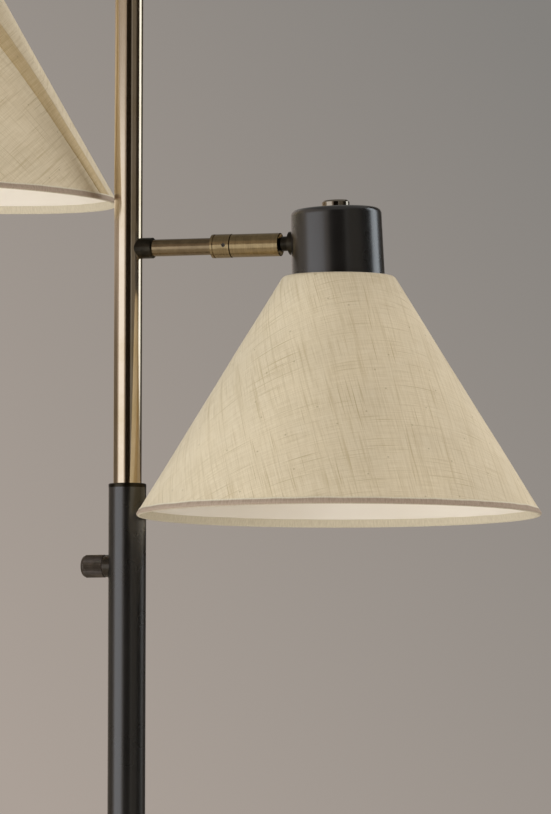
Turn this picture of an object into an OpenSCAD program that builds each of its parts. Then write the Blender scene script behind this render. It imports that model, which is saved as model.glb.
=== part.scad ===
// Tension pole lamp: a black lower pole and a brass upper pole, held between
// floor and ceiling by a sprung top, with two arms that end in linen shades.
// Millimetres, +Z up. The origin is on the floor under the pole's axis, and the
// lower arm points along +X.

/* [Foot] */
// Diameter of the foot plate
foot_d = 110; // [90:1:150]
// Height of the foot plate's rim above its underside
foot_rim_h = 8; // [5:0.5:14]
// Diameter of the hub that holds the pole
foot_hub_d = 42; // [38:1:60]
// Height of the hub's top above the pole's lower end
foot_hub_h = 14; // [12:1:20]
// Thickness of the plate under the pole
foot_web = 8; // [6:0.5:14]
// Diameter of the rubber pad
pad_d = 102; // [80:1:104]
// Thickness of the rubber pad
pad_t = 4; // [3:0.5:8]
// Depth of the pad's seat in the plate
pad_seat = 2; // [1:0.5:2.5]
// Diameter of the grub screw that holds the pole
foot_screw_d = 6; // [4:0.5:8]

/* [Black pole] */
// Outer diameter of the black pole
black_d = 25.4; // [24.6:0.1:28]
// Wall of the black pole
black_wall = 1.2; // [0.8:0.1:1.4]
// Length of the lowest tube
base_len = 588; // [500:1:650]
// Length of the tube above it
middle_len = 596; // [500:1:650]
// Length of the switch housing
housing_len = 105.3; // [95:0.1:125]
// Length of the sleeve inside each joint of the black pole
black_sleeve_len = 60; // [40:1:64]
// Bore of that sleeve
black_sleeve_bore = 14; // [11:0.5:18]
// Height of the cord outlet above the pole's lower end
outlet_up = 58; // [45:1:120]
// Bore of the cord outlet
outlet_bore = 7; // [6.5:0.1:8]

/* [Switch] */
// Height of the knob's axis above the housing's lower end
switch_up = 53; // [50:0.5:55]
// Width and depth of the switch's body
switch_w = 13.6; // [11:0.1:13.8]
// Height of the switch's body
switch_h = 26; // [20:0.5:30]
// Diameter of the switch's threaded neck
switch_neck_d = 10; // [9:0.1:11]
// Diameter of the ring nut on the neck
switch_nut_d = 15; // [13:0.1:18]
// Thickness of the ring nut at its thinnest
switch_nut_t = 1.9; // [1.5:0.1:3]
// Diameter of the switch's shaft
shaft_d = 6; // [5:0.1:6.4]
// Diameter of the knob
knob_d = 15.3; // [13:0.1:20]
// Length of the knob
knob_len = 16.5; // [14:0.1:24]
// Number of flutes in the knob's knurl
knob_flutes = 44; // [30:1:60]

/* [Brass pole] */
// Outer diameter of the brass pole
brass_d = 19.05; // [18.2:0.05:20]
// Wall of the brass pole
brass_wall = 1; // [0.8:0.1:1.1]
// Length of the tube that carries the arms
brass_len = 492; // [470:1:560]
// Length of the tube above it
upper_len = 440; // [400:1:480]
// Thickness of the bush's flange on top of the black pole
bush_flange_t = 2.7; // [2:0.1:5]
// Length of the bush inside the black pole
bush_len = 35; // [20:1:38]
// Thickness of the bush's seat under the brass tube
bush_seat_t = 2; // [1.5:0.1:4]
// Length of the sleeve inside the joint of the brass tubes
brass_sleeve_len = 50; // [30:1:60]
// Bore of that sleeve
brass_sleeve_bore = 12; // [11:0.5:13]

/* [Sprung top] */
// Outer diameter of the extension tube
extension_d = 15.9; // [15.3:0.1:16.2]
// Wall of the extension tube
extension_wall = 1; // [0.8:0.1:1.2]
// Length of the extension tube
extension_len = 502; // [440:1:560]
// Length of the extension tube inside the upper tube, as set in the photograph
extension_inside = 350; // [330:1:370]
// Length of the guide bush in the upper tube's mouth
guide_len = 36; // [20:1:45]
// Diameter of the lock collar
lock_d = 27; // [25:0.5:36]
// Length of the lock collar on the upper tube
lock_grip = 14; // [8:0.5:20]
// Height of the lock collar above the upper tube
lock_rise = 10; // [9:0.5:16]
// Diameter of the thumbscrew's thread
lock_screw_d = 5; // [4:0.5:6]
// Diameter of the thumbscrew's head
lock_head_d = 14; // [10:0.5:18]
// Diameter of the plunger rod
rod_d = 8; // [7:0.1:9]
// Diameter of the plunger's shoulder
shoulder_d = 13.4; // [12.4:0.1:13.6]
// Length of the plunger rod above the extension tube
rod_out = 72; // [60:1:90]
// Most that the plunger gives way
rod_travel = 35; // [20:1:45]
// Length of the tension spring, as it stands
spring_len = 76; // [65:1:90]
// Wire of the tension spring
spring_wire = 1.8; // [1.4:0.1:1.8]
// Number of curls in the tension spring
spring_curls = 14; // [8:1:16]
// Diameter of the steel plate on the plunger
plate_d = 58; // [48:1:70]
// Thickness of the steel plate
plate_t = 3; // [2:0.5:5]
// Height of the hub under the steel plate
plate_hub_h = 20; // [12:1:26]
// Diameter of the ceiling pad
ceiling_pad_d = 63; // [62:1:80]
// Thickness of the ceiling pad over the plate
ceiling_pad_t = 13; // [8:0.5:20]

/* [Arms] */
// Distance of the upper arm below the joint of the brass tubes
arm_down = 76.6; // [60:0.1:90]
// Height of the upper arm above the lower one
arm_rise = 221.7; // [205:0.1:240]
// Turn of the upper arm from straight opposite the lower one, towards the back
upper_arm_turn = 4.4; // [-30:0.1:30]
// Diameter of the collar against the brass pole
collar_d = 14; // [12.5:0.1:16]
// Length of the collar
collar_len = 9; // [7:0.1:12]
// Diameter of the arm tube
arm_d = 11.4; // [11:0.1:12.4]
// Length of the arm tube that shows
arm_len = 42; // [32:0.1:70]
// Diameter of the hollow stud inside the arm tube
stud_d = 8.8; // [8.2:0.1:9.2]
// Diameter of the swivel ring
ring_d = 16; // [15.2:0.1:18]
// Length of the swivel ring
ring_len = 13.4; // [12.4:0.1:18]
// Diameter of the ball barrel
barrel_d = 15.6; // [15.4:0.1:18]
// Length of the ball barrel that shows
barrel_len = 34.4; // [28:0.1:42]
// Diameter of the ball
ball_d = 12.6; // [12.2:0.1:12.8]
// Distance from the ball's centre to the barrel's mouth
ball_inset = 6.5; // [6.3:0.1:6.8]
// Diameter of the neck between the ball and the cup
neck_d = 9.9; // [9.2:0.1:10]
// Diameter of the neck's flange
flange_d = 15.7; // [13:0.1:18]
// Diameter of a lamp wire
wire_d = 3.4; // [2.6:0.1:3.8]

/* [Heads] */
// Distance from the ball's centre to the axis of the cup
head_reach = 46.4; // [44:0.1:56]
// Tilt of the lower head about its ball, outer side up
lower_head_tilt = 2.4; // [0:0.1:6]
// Lean of the lower shade back on its bent spider, so that it hangs level
lower_shade_lean = 2.2; // [0:0.1:4]
// Tilt of the upper head about its ball, outer side up
upper_head_tilt = 2.4; // [0:0.1:6]
// Diameter of the cup at its top
cup_top_d = 60.6; // [56:0.1:66]
// Diameter of the cup at its rim
cup_rim_d = 62; // [58:0.1:67]
// Height of the cup's top above the neck's axis
cup_rise = 20.6; // [20:0.1:26]
// Depth of the cup's rim below the neck's axis
cup_drop = 26; // [20:0.1:26.4]
// Wall of the cup
cup_wall = 1; // [0.8:0.1:1.5]
// Radius of the cup's top edge
cup_edge_r = 4; // [2:0.1:5]
// Diameter of the nut on the cup
top_nut_d = 18.5; // [16:0.1:24]
// Height of the nut on the cup
top_nut_h = 5.8; // [4:0.1:8]
// Diameter of the threaded nipple
nipple_d = 10; // [9:0.1:10.4]
// Diameter of the lamp socket
socket_d = 40; // [38.4:0.1:42]
// Depth of the socket's shoulder below the neck's axis
socket_drop = 30; // [28:0.1:34]
// Diameter of the socket's threaded sleeve
sleeve_d = 35; // [33:0.1:36]
// Length of the socket's threaded sleeve
sleeve_len = 16; // [11:0.1:20]
// Diameter of the ring nut that holds the shade
shade_nut_d = 45; // [42:0.1:50]
// Height of the ring nut that holds the shade
shade_nut_h = 8; // [6:0.1:10]
// Diameter of the bulb's glass
bulb_d = 60; // [54:0.5:66]
// Length of the bulb
bulb_len = 110; // [105:0.5:125]

/* [Shades] */
// Outermost diameter of the shade
shade_d = 269; // [240:0.2:269.4]
// Diameter over the rolled top edge, at its highest line
shade_top_d = 69; // [67:0.2:80]
// Height of the shade
shade_h = 159.8; // [145:0.1:175]
// Height of the shade's top above its fitter
shade_over_fitter = 5.9; // [5.4:0.1:7]
// Thickness of the linen on its backing
linen_t = 0.8; // [0.6:0.1:1.2]
// Radius of the rolled top edge
top_roll_r = 4.5; // [4.2:0.1:5.4]
// Height of the hem along the slope
hem_h = 4.8; // [3.5:0.1:7]
// Thickness of the hem
hem_t = 2.4; // [2:0.1:3]
// Thickness of the white lining
lining_t = 0.5; // [0.4:0.1:0.8]
// Wire of the fitter's spokes and the top ring
frame_wire = 2.6; // [2:0.1:2.8]
// Wire of the ring in the lower hem
hem_wire = 1.4; // [1:0.1:1.5]

/* [Hidden] */
$fn = 72;

// Clearances: parts that fit into each other, parts that turn, and faces that pass.
fit = 0.05;
turn_fit = 0.06;
face_gap = 0.2;
// How far a cutting tool reaches past what it cuts.
past = 1;

// Colours
satin_black = "#1d1c1c";
antique_brass = "#a98a4e";
dark_bronze = "#2b2522";
nickel = "#b9b6ae";
linen = "#c9bf9c";
white_lining = "#e8dfcc";
rubber = "#262626";
steel = "#8d9094";
nylon = "#d8d4c8";
phenolic = "#30261f";
pvc = "#141414";

// Radii of the poles
black_r = black_d / 2;
black_in_r = black_r - black_wall;
brass_r = brass_d / 2;
brass_in_r = brass_r - brass_wall;
extension_r = extension_d / 2;
extension_in_r = extension_r - extension_wall;

// Heights of the poles' ends, from the floor up
foot_under_z = pad_t - pad_seat;
pole_foot_z = pad_t + foot_web;
hub_top_z = pole_foot_z + foot_hub_h;
outlet_z = pole_foot_z + outlet_up;
base_top_z = pole_foot_z + base_len;
middle_top_z = base_top_z + middle_len;
switch_z = middle_top_z + switch_up;
housing_top_z = middle_top_z + housing_len;
bush_top_z = housing_top_z + bush_flange_t;
bush_foot_z = housing_top_z - bush_len;
brass_foot_z = bush_foot_z + bush_seat_t;
brass_top_z = brass_foot_z + brass_len;
upper_top_z = brass_top_z + upper_len;
extension_foot_z = upper_top_z - extension_inside;
extension_top_z = extension_foot_z + extension_len;
lock_foot_z = upper_top_z - lock_grip;
lock_top_z = upper_top_z + lock_rise;
lock_screw_z = upper_top_z + lock_rise / 2;

// The sprung top
end_bush_len = 12;
end_bush_lip = 3;
end_bush_foot_z = extension_top_z - end_bush_len;
shoulder_len = 6;
shoulder_top_z = end_bush_foot_z - fit;
shoulder_foot_z = shoulder_top_z - shoulder_len;
spring_foot_z = shoulder_foot_z - spring_len;
stop_len = 6;
rod_tail_z = spring_foot_z + rod_travel + 4;
rod_top_z = extension_top_z + rod_out;
plate_hub_d = rod_d + 7;
plate_top_z = rod_top_z + plate_t;
ceiling_z = plate_top_z + ceiling_pad_t;

// The switch, on the -X side of its housing
switch_back_x = switch_w / 2 - 2;
switch_front_x = switch_back_x - switch_w;
switch_nut_x = -black_r - switch_nut_t;
neck_end_x = switch_nut_x + 0.2;
knob_skirt_x = switch_nut_x - 0.3;
knob_skirt_len = 1;
knob_end_x = knob_skirt_x - knob_len;
knob_end_round = 2.5;
knurl_depth = 0.3;
shaft_tail_x = switch_front_x + 5;
shaft_head_x = knob_end_x + 4;

// Stations along an arm, from the pole's axis outwards
stud_in_x = brass_in_r - 2.3;
stud_bore = wire_d + 1.4;
stud_flange_d = 14;
stud_out = 22;
collar_x = brass_r + collar_len;
arm_in_d = stud_d + 2 * fit;
arm_plug = 6;
ring_x = collar_x + arm_len;
arm_end_x = ring_x + arm_plug;
ring_end_x = ring_x + ring_len;
ring_flange_len = 1.6;
ring_groove_w = 0.9;
ring_groove_depth = 0.6;
spigot_d = 12;
spigot_x = arm_end_x + 0.3;
keeper_x = (spigot_x + ring_end_x) / 2;
keeper_d = 2.6;
keeper_groove_w = 3.4;
keeper_groove_depth = 0.9;
barrel_x = ring_end_x + face_gap;
barrel_end_x = ring_end_x + barrel_len;
barrel_edge = 0.5;
ball_x = barrel_end_x - ball_inset;
ball_r = ball_d / 2;
ball_seat_r = ball_r + turn_fit;
barrel_bore = wire_d + 3;
mouth_start = 3.5;
mouth_wall = 0.6;

// The head, counted from the ball's centre along the neck
neck_start_r = 4;
neck_cone_x = 5;
neck_full_x = 8;
neck_bore = wire_d + 1;
flange_t = 2.4;
cup_mid_r = (cup_top_d / 2 * cup_drop + cup_rim_d / 2 * cup_rise) / (cup_rise + cup_drop);
cup_wall_x = head_reach - cup_mid_r;
flange_x = cup_wall_x - flange_t;
neck_thread_d = neck_d - 0.1;
neck_nut_x = cup_wall_x + cup_wall;
neck_nut_t = 4;
neck_nut_af = 15;
neck_tail_x = neck_nut_x + neck_nut_t + 1;

// The head, counted from the neck's axis up and down the cup's axis
cup_ceiling_z = cup_rise - cup_wall;
nipple_flange_t = 4.6;
nipple_flange_d = 17;
nipple_in_socket = 8;
nipple_in_nut = top_nut_h - 1.2;
nipple_bore = 7;
socket_roof_z = cup_ceiling_z - nipple_flange_t - fit;
socket_roof_t = nipple_in_socket + 1;
fitter_z = -socket_drop;
sleeve_foot_z = fitter_z - sleeve_len;
shell_wall = 0.4;
bulb_base_r = 12.95;
shell_in_r = bulb_base_r + fit;
shell_r = shell_in_r + shell_wall;
shell_top_z = -9;
shell_foot_z = sleeve_foot_z + 5;
fitter_t = 1.2;
fitter_in_r = sleeve_d / 2 + 0.1;
fitter_out_r = shade_nut_d / 2 + 0.5;
bulb_top_z = shell_top_z - shell_wall - 0.3;
bulb_foot_z = bulb_top_z - bulb_len;
bulb_r = bulb_d / 2;
bulb_glass_t = 0.8;
bulb_base_len = 26;
bulb_neck_r = bulb_base_r - 0.2;

// The shade's outline, counted from its fitter's centre
shade_top_z = shade_over_fitter;
shade_rim_z = shade_top_z - shade_h;
roll_r = shade_top_d / 2;
roll_z = shade_top_z - top_roll_r;
hem_r = hem_t / 2;
rim_end_r = shade_d / 2 - hem_r;
rim_end_z = shade_rim_z + hem_r;
// The slope of the linen is the tangent from the roll to the hem's outer face.
slope_run = rim_end_r - roll_r;
slope_drop = roll_z - rim_end_z;
slope_len = norm([slope_run, slope_drop]);
slope_angle = atan2(slope_run, slope_drop) - asin((top_roll_r - hem_r) / slope_len);
slope_down = [sin(slope_angle), -cos(slope_angle)];
slope_out = [cos(slope_angle), sin(slope_angle)];
linen_start = [roll_r, roll_z] + top_roll_r * slope_out;
linen_end = [rim_end_r, rim_end_z] + hem_r * slope_out;
roll_turn = 120;
spoke_bend_r = roll_r - 3;
spoke_drop = 1;
top_ring_r = roll_r;
top_ring_z = roll_z + top_roll_r - linen_t - frame_wire / 2 - fit;

// Sides: index 0 is the lower, right arm and index 1 the upper, left one
right = 0;
left = 1;
arm_z = [brass_top_z - arm_down - arm_rise, brass_top_z - arm_down];
arm_turn = [0, 180 - upper_arm_turn];
head_tilt = [lower_head_tilt, upper_head_tilt];
shade_lean = [lower_shade_lean, 0];

// ---- Helpers ----

// A tube along Z between two heights
module tube(outer_r, inner_r, z0, z1) {
    difference() {
        translate([0, 0, z0]) cylinder(r = outer_r, h = z1 - z0);
        translate([0, 0, z0 - past]) cylinder(r = inner_r, h = z1 - z0 + 2 * past);
    }
}

// A solid rod along Z between two heights
module rod_z(r, z0, z1) {
    translate([0, 0, z0]) cylinder(r = r, h = z1 - z0);
}

// A solid rod along X between two stations
module rod_x(r, x0, x1) {
    translate([x0, 0, 0]) rotate([0, 90, 0]) cylinder(r = r, h = x1 - x0);
}

// A straight wire between two points
module straight_wire(from, to, d) {
    run = to - from;
    translate(from)
        rotate([0, acos(run.z / norm(run)), atan2(run.y, run.x)])
            cylinder(d = d, h = norm(run));
}

// The outline of a knurled bar: shallow flutes round a circle
module knurl_outline(r, depth, flutes) {
    polygon([for (i = [0:2 * flutes - 1])
        (r - (i % 2) * depth) * [cos(180 * i / flutes), sin(180 * i / flutes)]]);
}

// Points on an arc in the XZ plane at a given y, ends included
function arc_xz(centre, r, a0, a1, y, steps) =
    [for (i = [0:steps]) let (a = a0 + (a1 - a0) * i / steps)
        [centre[0] + r * cos(a), y, centre[1] + r * sin(a)]];

function unit(v) = v / norm(v);

// The direction of a route at one of its points
function heading(route, i) =
    unit(route[min(i + 1, len(route) - 1)] - route[max(i - 1, 0)]);

// A round wire swept along a route; no part of the route may run along side_axis
module swept_wire(route, d, side_axis, sides) {
    count = len(route);
    points = [for (i = [0:count - 1])
        let (along = heading(route, i), u = unit(cross(side_axis, along)), v = cross(along, u))
            for (k = [0:sides - 1])
                route[i] + d / 2 * (cos(360 * k / sides) * u + sin(360 * k / sides) * v)];
    function at(i, k) = i * sides + (k + sides) % sides;
    walls = [for (i = [0:count - 2]) for (k = [0:sides - 1]) each [
        [at(i, k), at(i + 1, k), at(i + 1, k + 1)],
        [at(i, k), at(i + 1, k + 1), at(i, k + 1)]]];
    ends = [for (k = [1:sides - 2]) each [
        [at(0, 0), at(0, k), at(0, k + 1)],
        [at(count - 1, 0), at(count - 1, k + 1), at(count - 1, k)]]];
    polyhedron(points, concat(walls, ends));
}

// Places children at an arm's root: X runs outwards along the arm
module on_arm(side) {
    translate([0, 0, arm_z[side]]) rotate([0, 0, arm_turn[side]]) children();
}

// Places children at a head's ball: X runs along the neck
module on_ball(side) {
    on_arm(side) translate([ball_x, 0, 0]) rotate([0, -head_tilt[side], 0]) children();
}

// Places children on the cup's axis, at the height of the neck
module on_cup_axis(side) {
    on_ball(side) translate([head_reach, 0, 0]) children();
}

// Places children at the shade's fitter, in the shade's own lean
module on_fitter(side) {
    on_cup_axis(side) translate([0, 0, fitter_z]) rotate([0, shade_lean[side], 0]) children();
}

// ---- Foot and black pole ----

module foot_pad() {
    edge = 1;
    color(rubber) rotate_extrude() polygon([
        [0, 0], [pad_d / 2 - edge, 0], [pad_d / 2, edge], [pad_d / 2, pad_t], [0, pad_t]]);
}

module foot_plate() {
    seat_r = pad_d / 2 + fit;
    bore_r = black_r + fit;
    hub_r = foot_hub_d / 2;
    rim_z = foot_under_z + foot_rim_h;
    edge = 1.5;
    shelf_z = max(rim_z + 1, hub_top_z - 9);
    color(satin_black) difference() {
        rotate_extrude() polygon([
            [0, pad_t], [seat_r, pad_t], [seat_r, foot_under_z],
            [foot_d / 2 - edge / 2, foot_under_z], [foot_d / 2, foot_under_z + edge / 2],
            [foot_d / 2, rim_z - edge], [foot_d / 2 - edge, rim_z],
            [hub_r + 4, shelf_z], [hub_r, shelf_z + 2],
            [hub_r, hub_top_z - edge], [hub_r - edge, hub_top_z],
            [bore_r, hub_top_z], [bore_r, pole_foot_z], [0, pole_foot_z]]);
        foot_screw_bar(foot_screw_d / 2 + fit, bore_r - past, hub_r + past);
    }
}

// The grub screw's bar, from one distance off the axis to another, at the back of the hub
module foot_screw_bar(r, y0, y1) {
    translate([0, y0, hub_top_z - 4.5]) rotate([-90, 0, 0]) cylinder(r = r, h = y1 - y0);
}

module foot_screw() {
    inner_y = black_r + 0.1;
    outer_y = foot_hub_d / 2 - 0.5;
    color(steel) difference() {
        foot_screw_bar(foot_screw_d / 2, inner_y, outer_y);
        translate([0, outer_y - 3, hub_top_z - 4.5]) rotate([-90, 0, 0])
            cylinder(d = foot_screw_d / 2, h = 3 + past, $fn = 6);
    }
}

module base_pole() {
    color(satin_black) difference() {
        tube(black_r, black_in_r, pole_foot_z, base_top_z);
        translate([0, 0, outlet_z]) rotate([-90, 0, 0])
            cylinder(r = outlet_bore / 2 + 2.5, h = black_d);
    }
}

// Rubber grommet in the cord outlet, at the back of the pole
module cord_grommet() {
    neck_r = outlet_bore / 2 + 2.5 - fit;
    lip_r = outlet_bore / 2 + 4.5;
    lip_out = 2.5;
    inner_y = black_in_r - 3.5;
    color(rubber) difference() {
        union() {
            difference() {
                translate([0, inner_y, outlet_z]) rotate([-90, 0, 0])
                    cylinder(r = lip_r, h = black_r + lip_out - inner_y);
                difference() {
                    rod_z(black_r + fit, outlet_z - 2 * lip_r, outlet_z + 2 * lip_r);
                    rod_z(black_in_r - fit, outlet_z - 2 * lip_r - past, outlet_z + 2 * lip_r + past);
                }
            }
            translate([0, inner_y, outlet_z]) rotate([-90, 0, 0])
                cylinder(r = neck_r, h = black_r + lip_out - inner_y);
        }
        translate([0, 0, outlet_z]) rotate([-90, 0, 0]) cylinder(d = outlet_bore, h = black_d);
    }
}

// The mains cable inside the pole, from the outlet up to the switch
module mains_cable() {
    cable_d = 5;
    bend_r = black_in_r - 4.5;
    bend = [for (i = [0:6]) let (a = -90 - 15 * i)
        [0, bend_r + bend_r * cos(a), outlet_z + bend_r + bend_r * sin(a)]];
    color(pvc) swept_wire(concat(bend, [[0, 0, outlet_z + 2 * bend_r],
        [0, 0, switch_z - switch_h / 2]]), cable_d, [1, 0, 0], 8);
}

module middle_pole() {
    color(satin_black) tube(black_r, black_in_r, base_top_z, middle_top_z);
}

// Sleeves inside the joints of the poles
module pole_sleeves() {
    color(steel) for (joint_z = [base_top_z, middle_top_z])
        tube(black_in_r - fit, black_sleeve_bore / 2,
            joint_z - black_sleeve_len / 2, joint_z + black_sleeve_len / 2);
    color(steel) tube(brass_in_r - fit, brass_sleeve_bore / 2,
        brass_top_z - brass_sleeve_len / 2, brass_top_z + brass_sleeve_len / 2);
}

// ---- Switch ----

module switch_housing() {
    color(satin_black) difference() {
        tube(black_r, black_in_r, middle_top_z, housing_top_z);
        translate([0, 0, switch_z]) rod_x(switch_neck_d / 2 + fit, -black_d, 0);
    }
}

module switch_body() {
    color(phenolic) translate([0, 0, switch_z]) difference() {
        union() {
            translate([switch_front_x, -switch_w / 2, -switch_h / 2])
                cube([switch_w, switch_w, switch_h]);
            rod_x(switch_neck_d / 2, neck_end_x, switch_front_x + past);
        }
        rod_x(shaft_d / 2 + turn_fit, neck_end_x - past, shaft_tail_x + fit);
    }
}

module switch_nut() {
    color(nickel) difference() {
        translate([0, 0, switch_z]) rod_x(switch_nut_d / 2, switch_nut_x, -black_in_r + 5);
        rod_z(black_r + fit, switch_z - black_d, switch_z + black_d);
        translate([0, 0, switch_z])
            rod_x(switch_neck_d / 2 + fit, switch_nut_x - past, 0);
    }
}

module switch_shaft() {
    color(steel) translate([0, 0, switch_z]) rod_x(shaft_d / 2, shaft_head_x, shaft_tail_x);
}

module switch_knob() {
    knurl_x = knob_skirt_x - knob_skirt_len;
    knurl_len = knurl_x - knob_end_x - knob_end_round;
    color(dark_bronze) translate([0, 0, switch_z]) difference() {
        union() {
            rod_x(knob_d / 2 - 0.6, knurl_x - past, knob_skirt_x);
            translate([knurl_x, 0, 0]) rotate([0, -90, 0]) {
                linear_extrude(knurl_len) knurl_outline(knob_d / 2, knurl_depth, knob_flutes);
                translate([0, 0, knurl_len]) rotate_extrude() knob_end_section();
            }
        }
        rod_x(shaft_d / 2 + fit, shaft_head_x - fit, knob_skirt_x + past);
    }
}

// Half the section of the knob's rounded outer end, from the knurl outwards
module knob_end_section() {
    end_r = knob_d / 2 - knurl_depth - 0.1;
    polygon(concat([[0, -past], [end_r, -past]], [for (a = [0:15:90])
        [end_r - knob_end_round + knob_end_round * cos(a), knob_end_round * sin(a)]],
        [[0, knob_end_round]]));
}

// ---- Brass pole ----

// Bush that carries the brass tube in the top of the black pole
module reducing_bush() {
    spigot_r = black_in_r - fit;
    bore_r = brass_r + fit;
    seat_r = brass_in_r - 1.3;
    edge = 0.5;
    color(dark_bronze) rotate_extrude() polygon([
        [seat_r, bush_foot_z], [spigot_r, bush_foot_z], [spigot_r, housing_top_z],
        [black_r, housing_top_z], [black_r, bush_top_z - edge], [black_r - edge, bush_top_z],
        [bore_r, bush_top_z], [bore_r, brass_foot_z], [seat_r, brass_foot_z]]);
}

module brass_tube() {
    color(antique_brass) difference() {
        tube(brass_r, brass_in_r, brass_foot_z, brass_top_z);
        for (side = [right, left])
            on_arm(side) rod_x(stud_d / 2 + fit, 0, brass_d);
    }
}

module upper_tube() {
    color(antique_brass) tube(brass_r, brass_in_r, brass_top_z, upper_top_z);
}

// ---- Sprung top ----

module guide_bush() {
    color(nylon) tube(brass_in_r - fit, extension_r + fit, upper_top_z - guide_len, upper_top_z);
}

// Collar on the upper tube's mouth; its lip lies on the tube's end
module lock_collar() {
    edge = 1;
    color(antique_brass) difference() {
        rotate_extrude() polygon([
            [brass_r + fit, lock_foot_z], [lock_d / 2 - edge, lock_foot_z],
            [lock_d / 2, lock_foot_z + edge], [lock_d / 2, lock_top_z - edge],
            [lock_d / 2 - edge, lock_top_z], [extension_r + fit, lock_top_z],
            [extension_r + fit, upper_top_z], [brass_r + fit, upper_top_z]]);
        translate([0, 0, lock_screw_z]) rotate([-90, 0, 0])
            cylinder(r = lock_screw_d / 2 + turn_fit, h = lock_d);
    }
}

// Thumbscrew at the back of the collar, tip against the extension tube
module lock_screw() {
    tip_y = extension_r + 0.1;
    neck_y = lock_d / 2 + 1.5;
    head_t = 9;
    color(antique_brass) translate([0, 0, lock_screw_z]) rotate([-90, 0, 0]) {
        translate([0, 0, tip_y]) cylinder(d = lock_screw_d, h = neck_y - tip_y + past);
        translate([0, 0, neck_y]) linear_extrude(head_t)
            knurl_outline(lock_head_d / 2, 0.5, 24);
    }
}

module extension_tube() {
    color(antique_brass) tube(extension_r, extension_in_r, extension_foot_z, extension_top_z);
}

module spring_stop() {
    color(steel) rod_z(extension_in_r - fit, spring_foot_z - stop_len, spring_foot_z);
}

// Curls round the plunger's tail, seated on the stop and under the shoulder
module tension_spring() {
    rings_per_curl = 8;
    steps = spring_curls * rings_per_curl;
    coil_r = (rod_d / 2 + extension_in_r) / 2;
    low_z = spring_foot_z + spring_wire / 2;
    rise = spring_len - spring_wire;
    route = [for (i = [0:steps]) let (a = 360 * i / rings_per_curl)
        [coil_r * cos(a), coil_r * sin(a), low_z + rise * i / steps]];
    echo(spring_gap = rise / spring_curls - spring_wire);
    color(steel) swept_wire(route, spring_wire, [0, 0, 1], 6);
}

module plunger_rod() {
    color(nickel) {
        rod_z(rod_d / 2, rod_tail_z, rod_top_z);
        rod_z(shoulder_d / 2, shoulder_foot_z, shoulder_top_z);
    }
}

module end_bush() {
    color(nylon) difference() {
        union() {
            rod_z(extension_in_r - fit, end_bush_foot_z, extension_top_z + past);
            rod_z(extension_r, extension_top_z, extension_top_z + end_bush_lip);
        }
        rod_z(rod_d / 2 + turn_fit, end_bush_foot_z - past, extension_top_z + end_bush_lip + past);
    }
}

// Steel plate with the hub that the plunger rod is fixed in
module pad_plate() {
    hub_foot_z = rod_top_z - plate_hub_h;
    color(steel) difference() {
        union() {
            rod_z(plate_hub_d / 2, hub_foot_z, rod_top_z + past);
            rod_z(plate_d / 2, rod_top_z, plate_top_z);
        }
        rod_z(rod_d / 2 + fit, hub_foot_z - past, rod_top_z);
    }
}

module ceiling_pad() {
    edge = 2;
    seat_r = plate_d / 2 + fit;
    color(rubber) rotate_extrude() polygon([
        [0, plate_top_z], [seat_r, plate_top_z], [seat_r, rod_top_z],
        [ceiling_pad_d / 2, rod_top_z], [ceiling_pad_d / 2, ceiling_z - edge],
        [ceiling_pad_d / 2 - edge, ceiling_z], [0, ceiling_z]]);
}

// ---- Arms ----

// Hollow stud through the brass tube's wall, its curved head inside the tube
module arm_studs() {
    color(steel) for (side = [right, left]) on_arm(side) difference() {
        union() {
            intersection() {
                rod_x(stud_flange_d / 2, stud_in_x, brass_r);
                rod_z(brass_in_r - fit, -stud_flange_d, stud_flange_d);
            }
            rod_x(stud_d / 2, stud_in_x, collar_x + stud_out);
        }
        rod_x(stud_bore / 2, stud_in_x - past, collar_x + stud_out + past);
    }
}

// Collar that saddles the brass tube and seats the arm tube
module arm_collars() {
    edge = 0.8;
    color(dark_bronze) for (side = [right, left]) on_arm(side) difference() {
        union() {
            rod_x(collar_d / 2, brass_r / 2, collar_x - edge);
            translate([collar_x - edge, 0, 0]) rotate([0, 90, 0])
                cylinder(r1 = collar_d / 2, r2 = collar_d / 2 - edge, h = edge);
        }
        rod_z(brass_r + fit, -collar_d, collar_d);
        rod_x(stud_d / 2 + fit, 0, collar_x + past);
    }
}

module arm_tube(side) {
    color(antique_brass) on_arm(side) difference() {
        rod_x(arm_d / 2, collar_x, arm_end_x);
        rod_x(arm_in_d / 2, collar_x - past, arm_end_x + past);
    }
}

// Ring screwed on the arm tube's end; the barrel's spigot turns in it
module swivel_rings() {
    color(antique_brass) for (side = [right, left]) on_arm(side) difference() {
        rod_x(ring_d / 2, ring_x, ring_end_x);
        rod_x(arm_d / 2 + fit, ring_x - past, arm_end_x);
        rod_x(spigot_d / 2 + turn_fit, arm_end_x - past, ring_end_x + past);
        difference() {
            rod_x(ring_d, ring_x + ring_flange_len, ring_x + ring_flange_len + ring_groove_w);
            rod_x(ring_d / 2 - ring_groove_depth, ring_x, ring_end_x);
        }
        keeper_bar(side, keeper_d / 2 + fit, 0, ring_d);
    }
}

// A bar at the front of a swivel ring, from one distance off the arm's axis to another
module keeper_bar(side, r, y0, y1) {
    front = side == right ? 90 : -90;
    translate([keeper_x, 0, 0]) rotate([front, 0, 0]) translate([0, 0, y0])
        cylinder(r = r, h = y1 - y0);
}

// Set screw whose tip runs in the spigot's groove and keeps the barrel in the ring
module swivel_screws() {
    tip = spigot_d / 2 - keeper_groove_depth + 0.2;
    color(steel) for (side = [right, left]) on_arm(side) difference() {
        keeper_bar(side, keeper_d / 2, tip, ring_d / 2 - 0.3);
        keeper_bar(side, keeper_d / 4, ring_d / 2 - 1, ring_d / 2, $fn = 6);
    }
}

// Barrel that turns in the swivel ring; its lip is rolled over the ball
module ball_barrel(side) {
    color(antique_brass) on_arm(side) rotate([0, 90, 0]) rotate_extrude() barrel_section();
}

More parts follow.
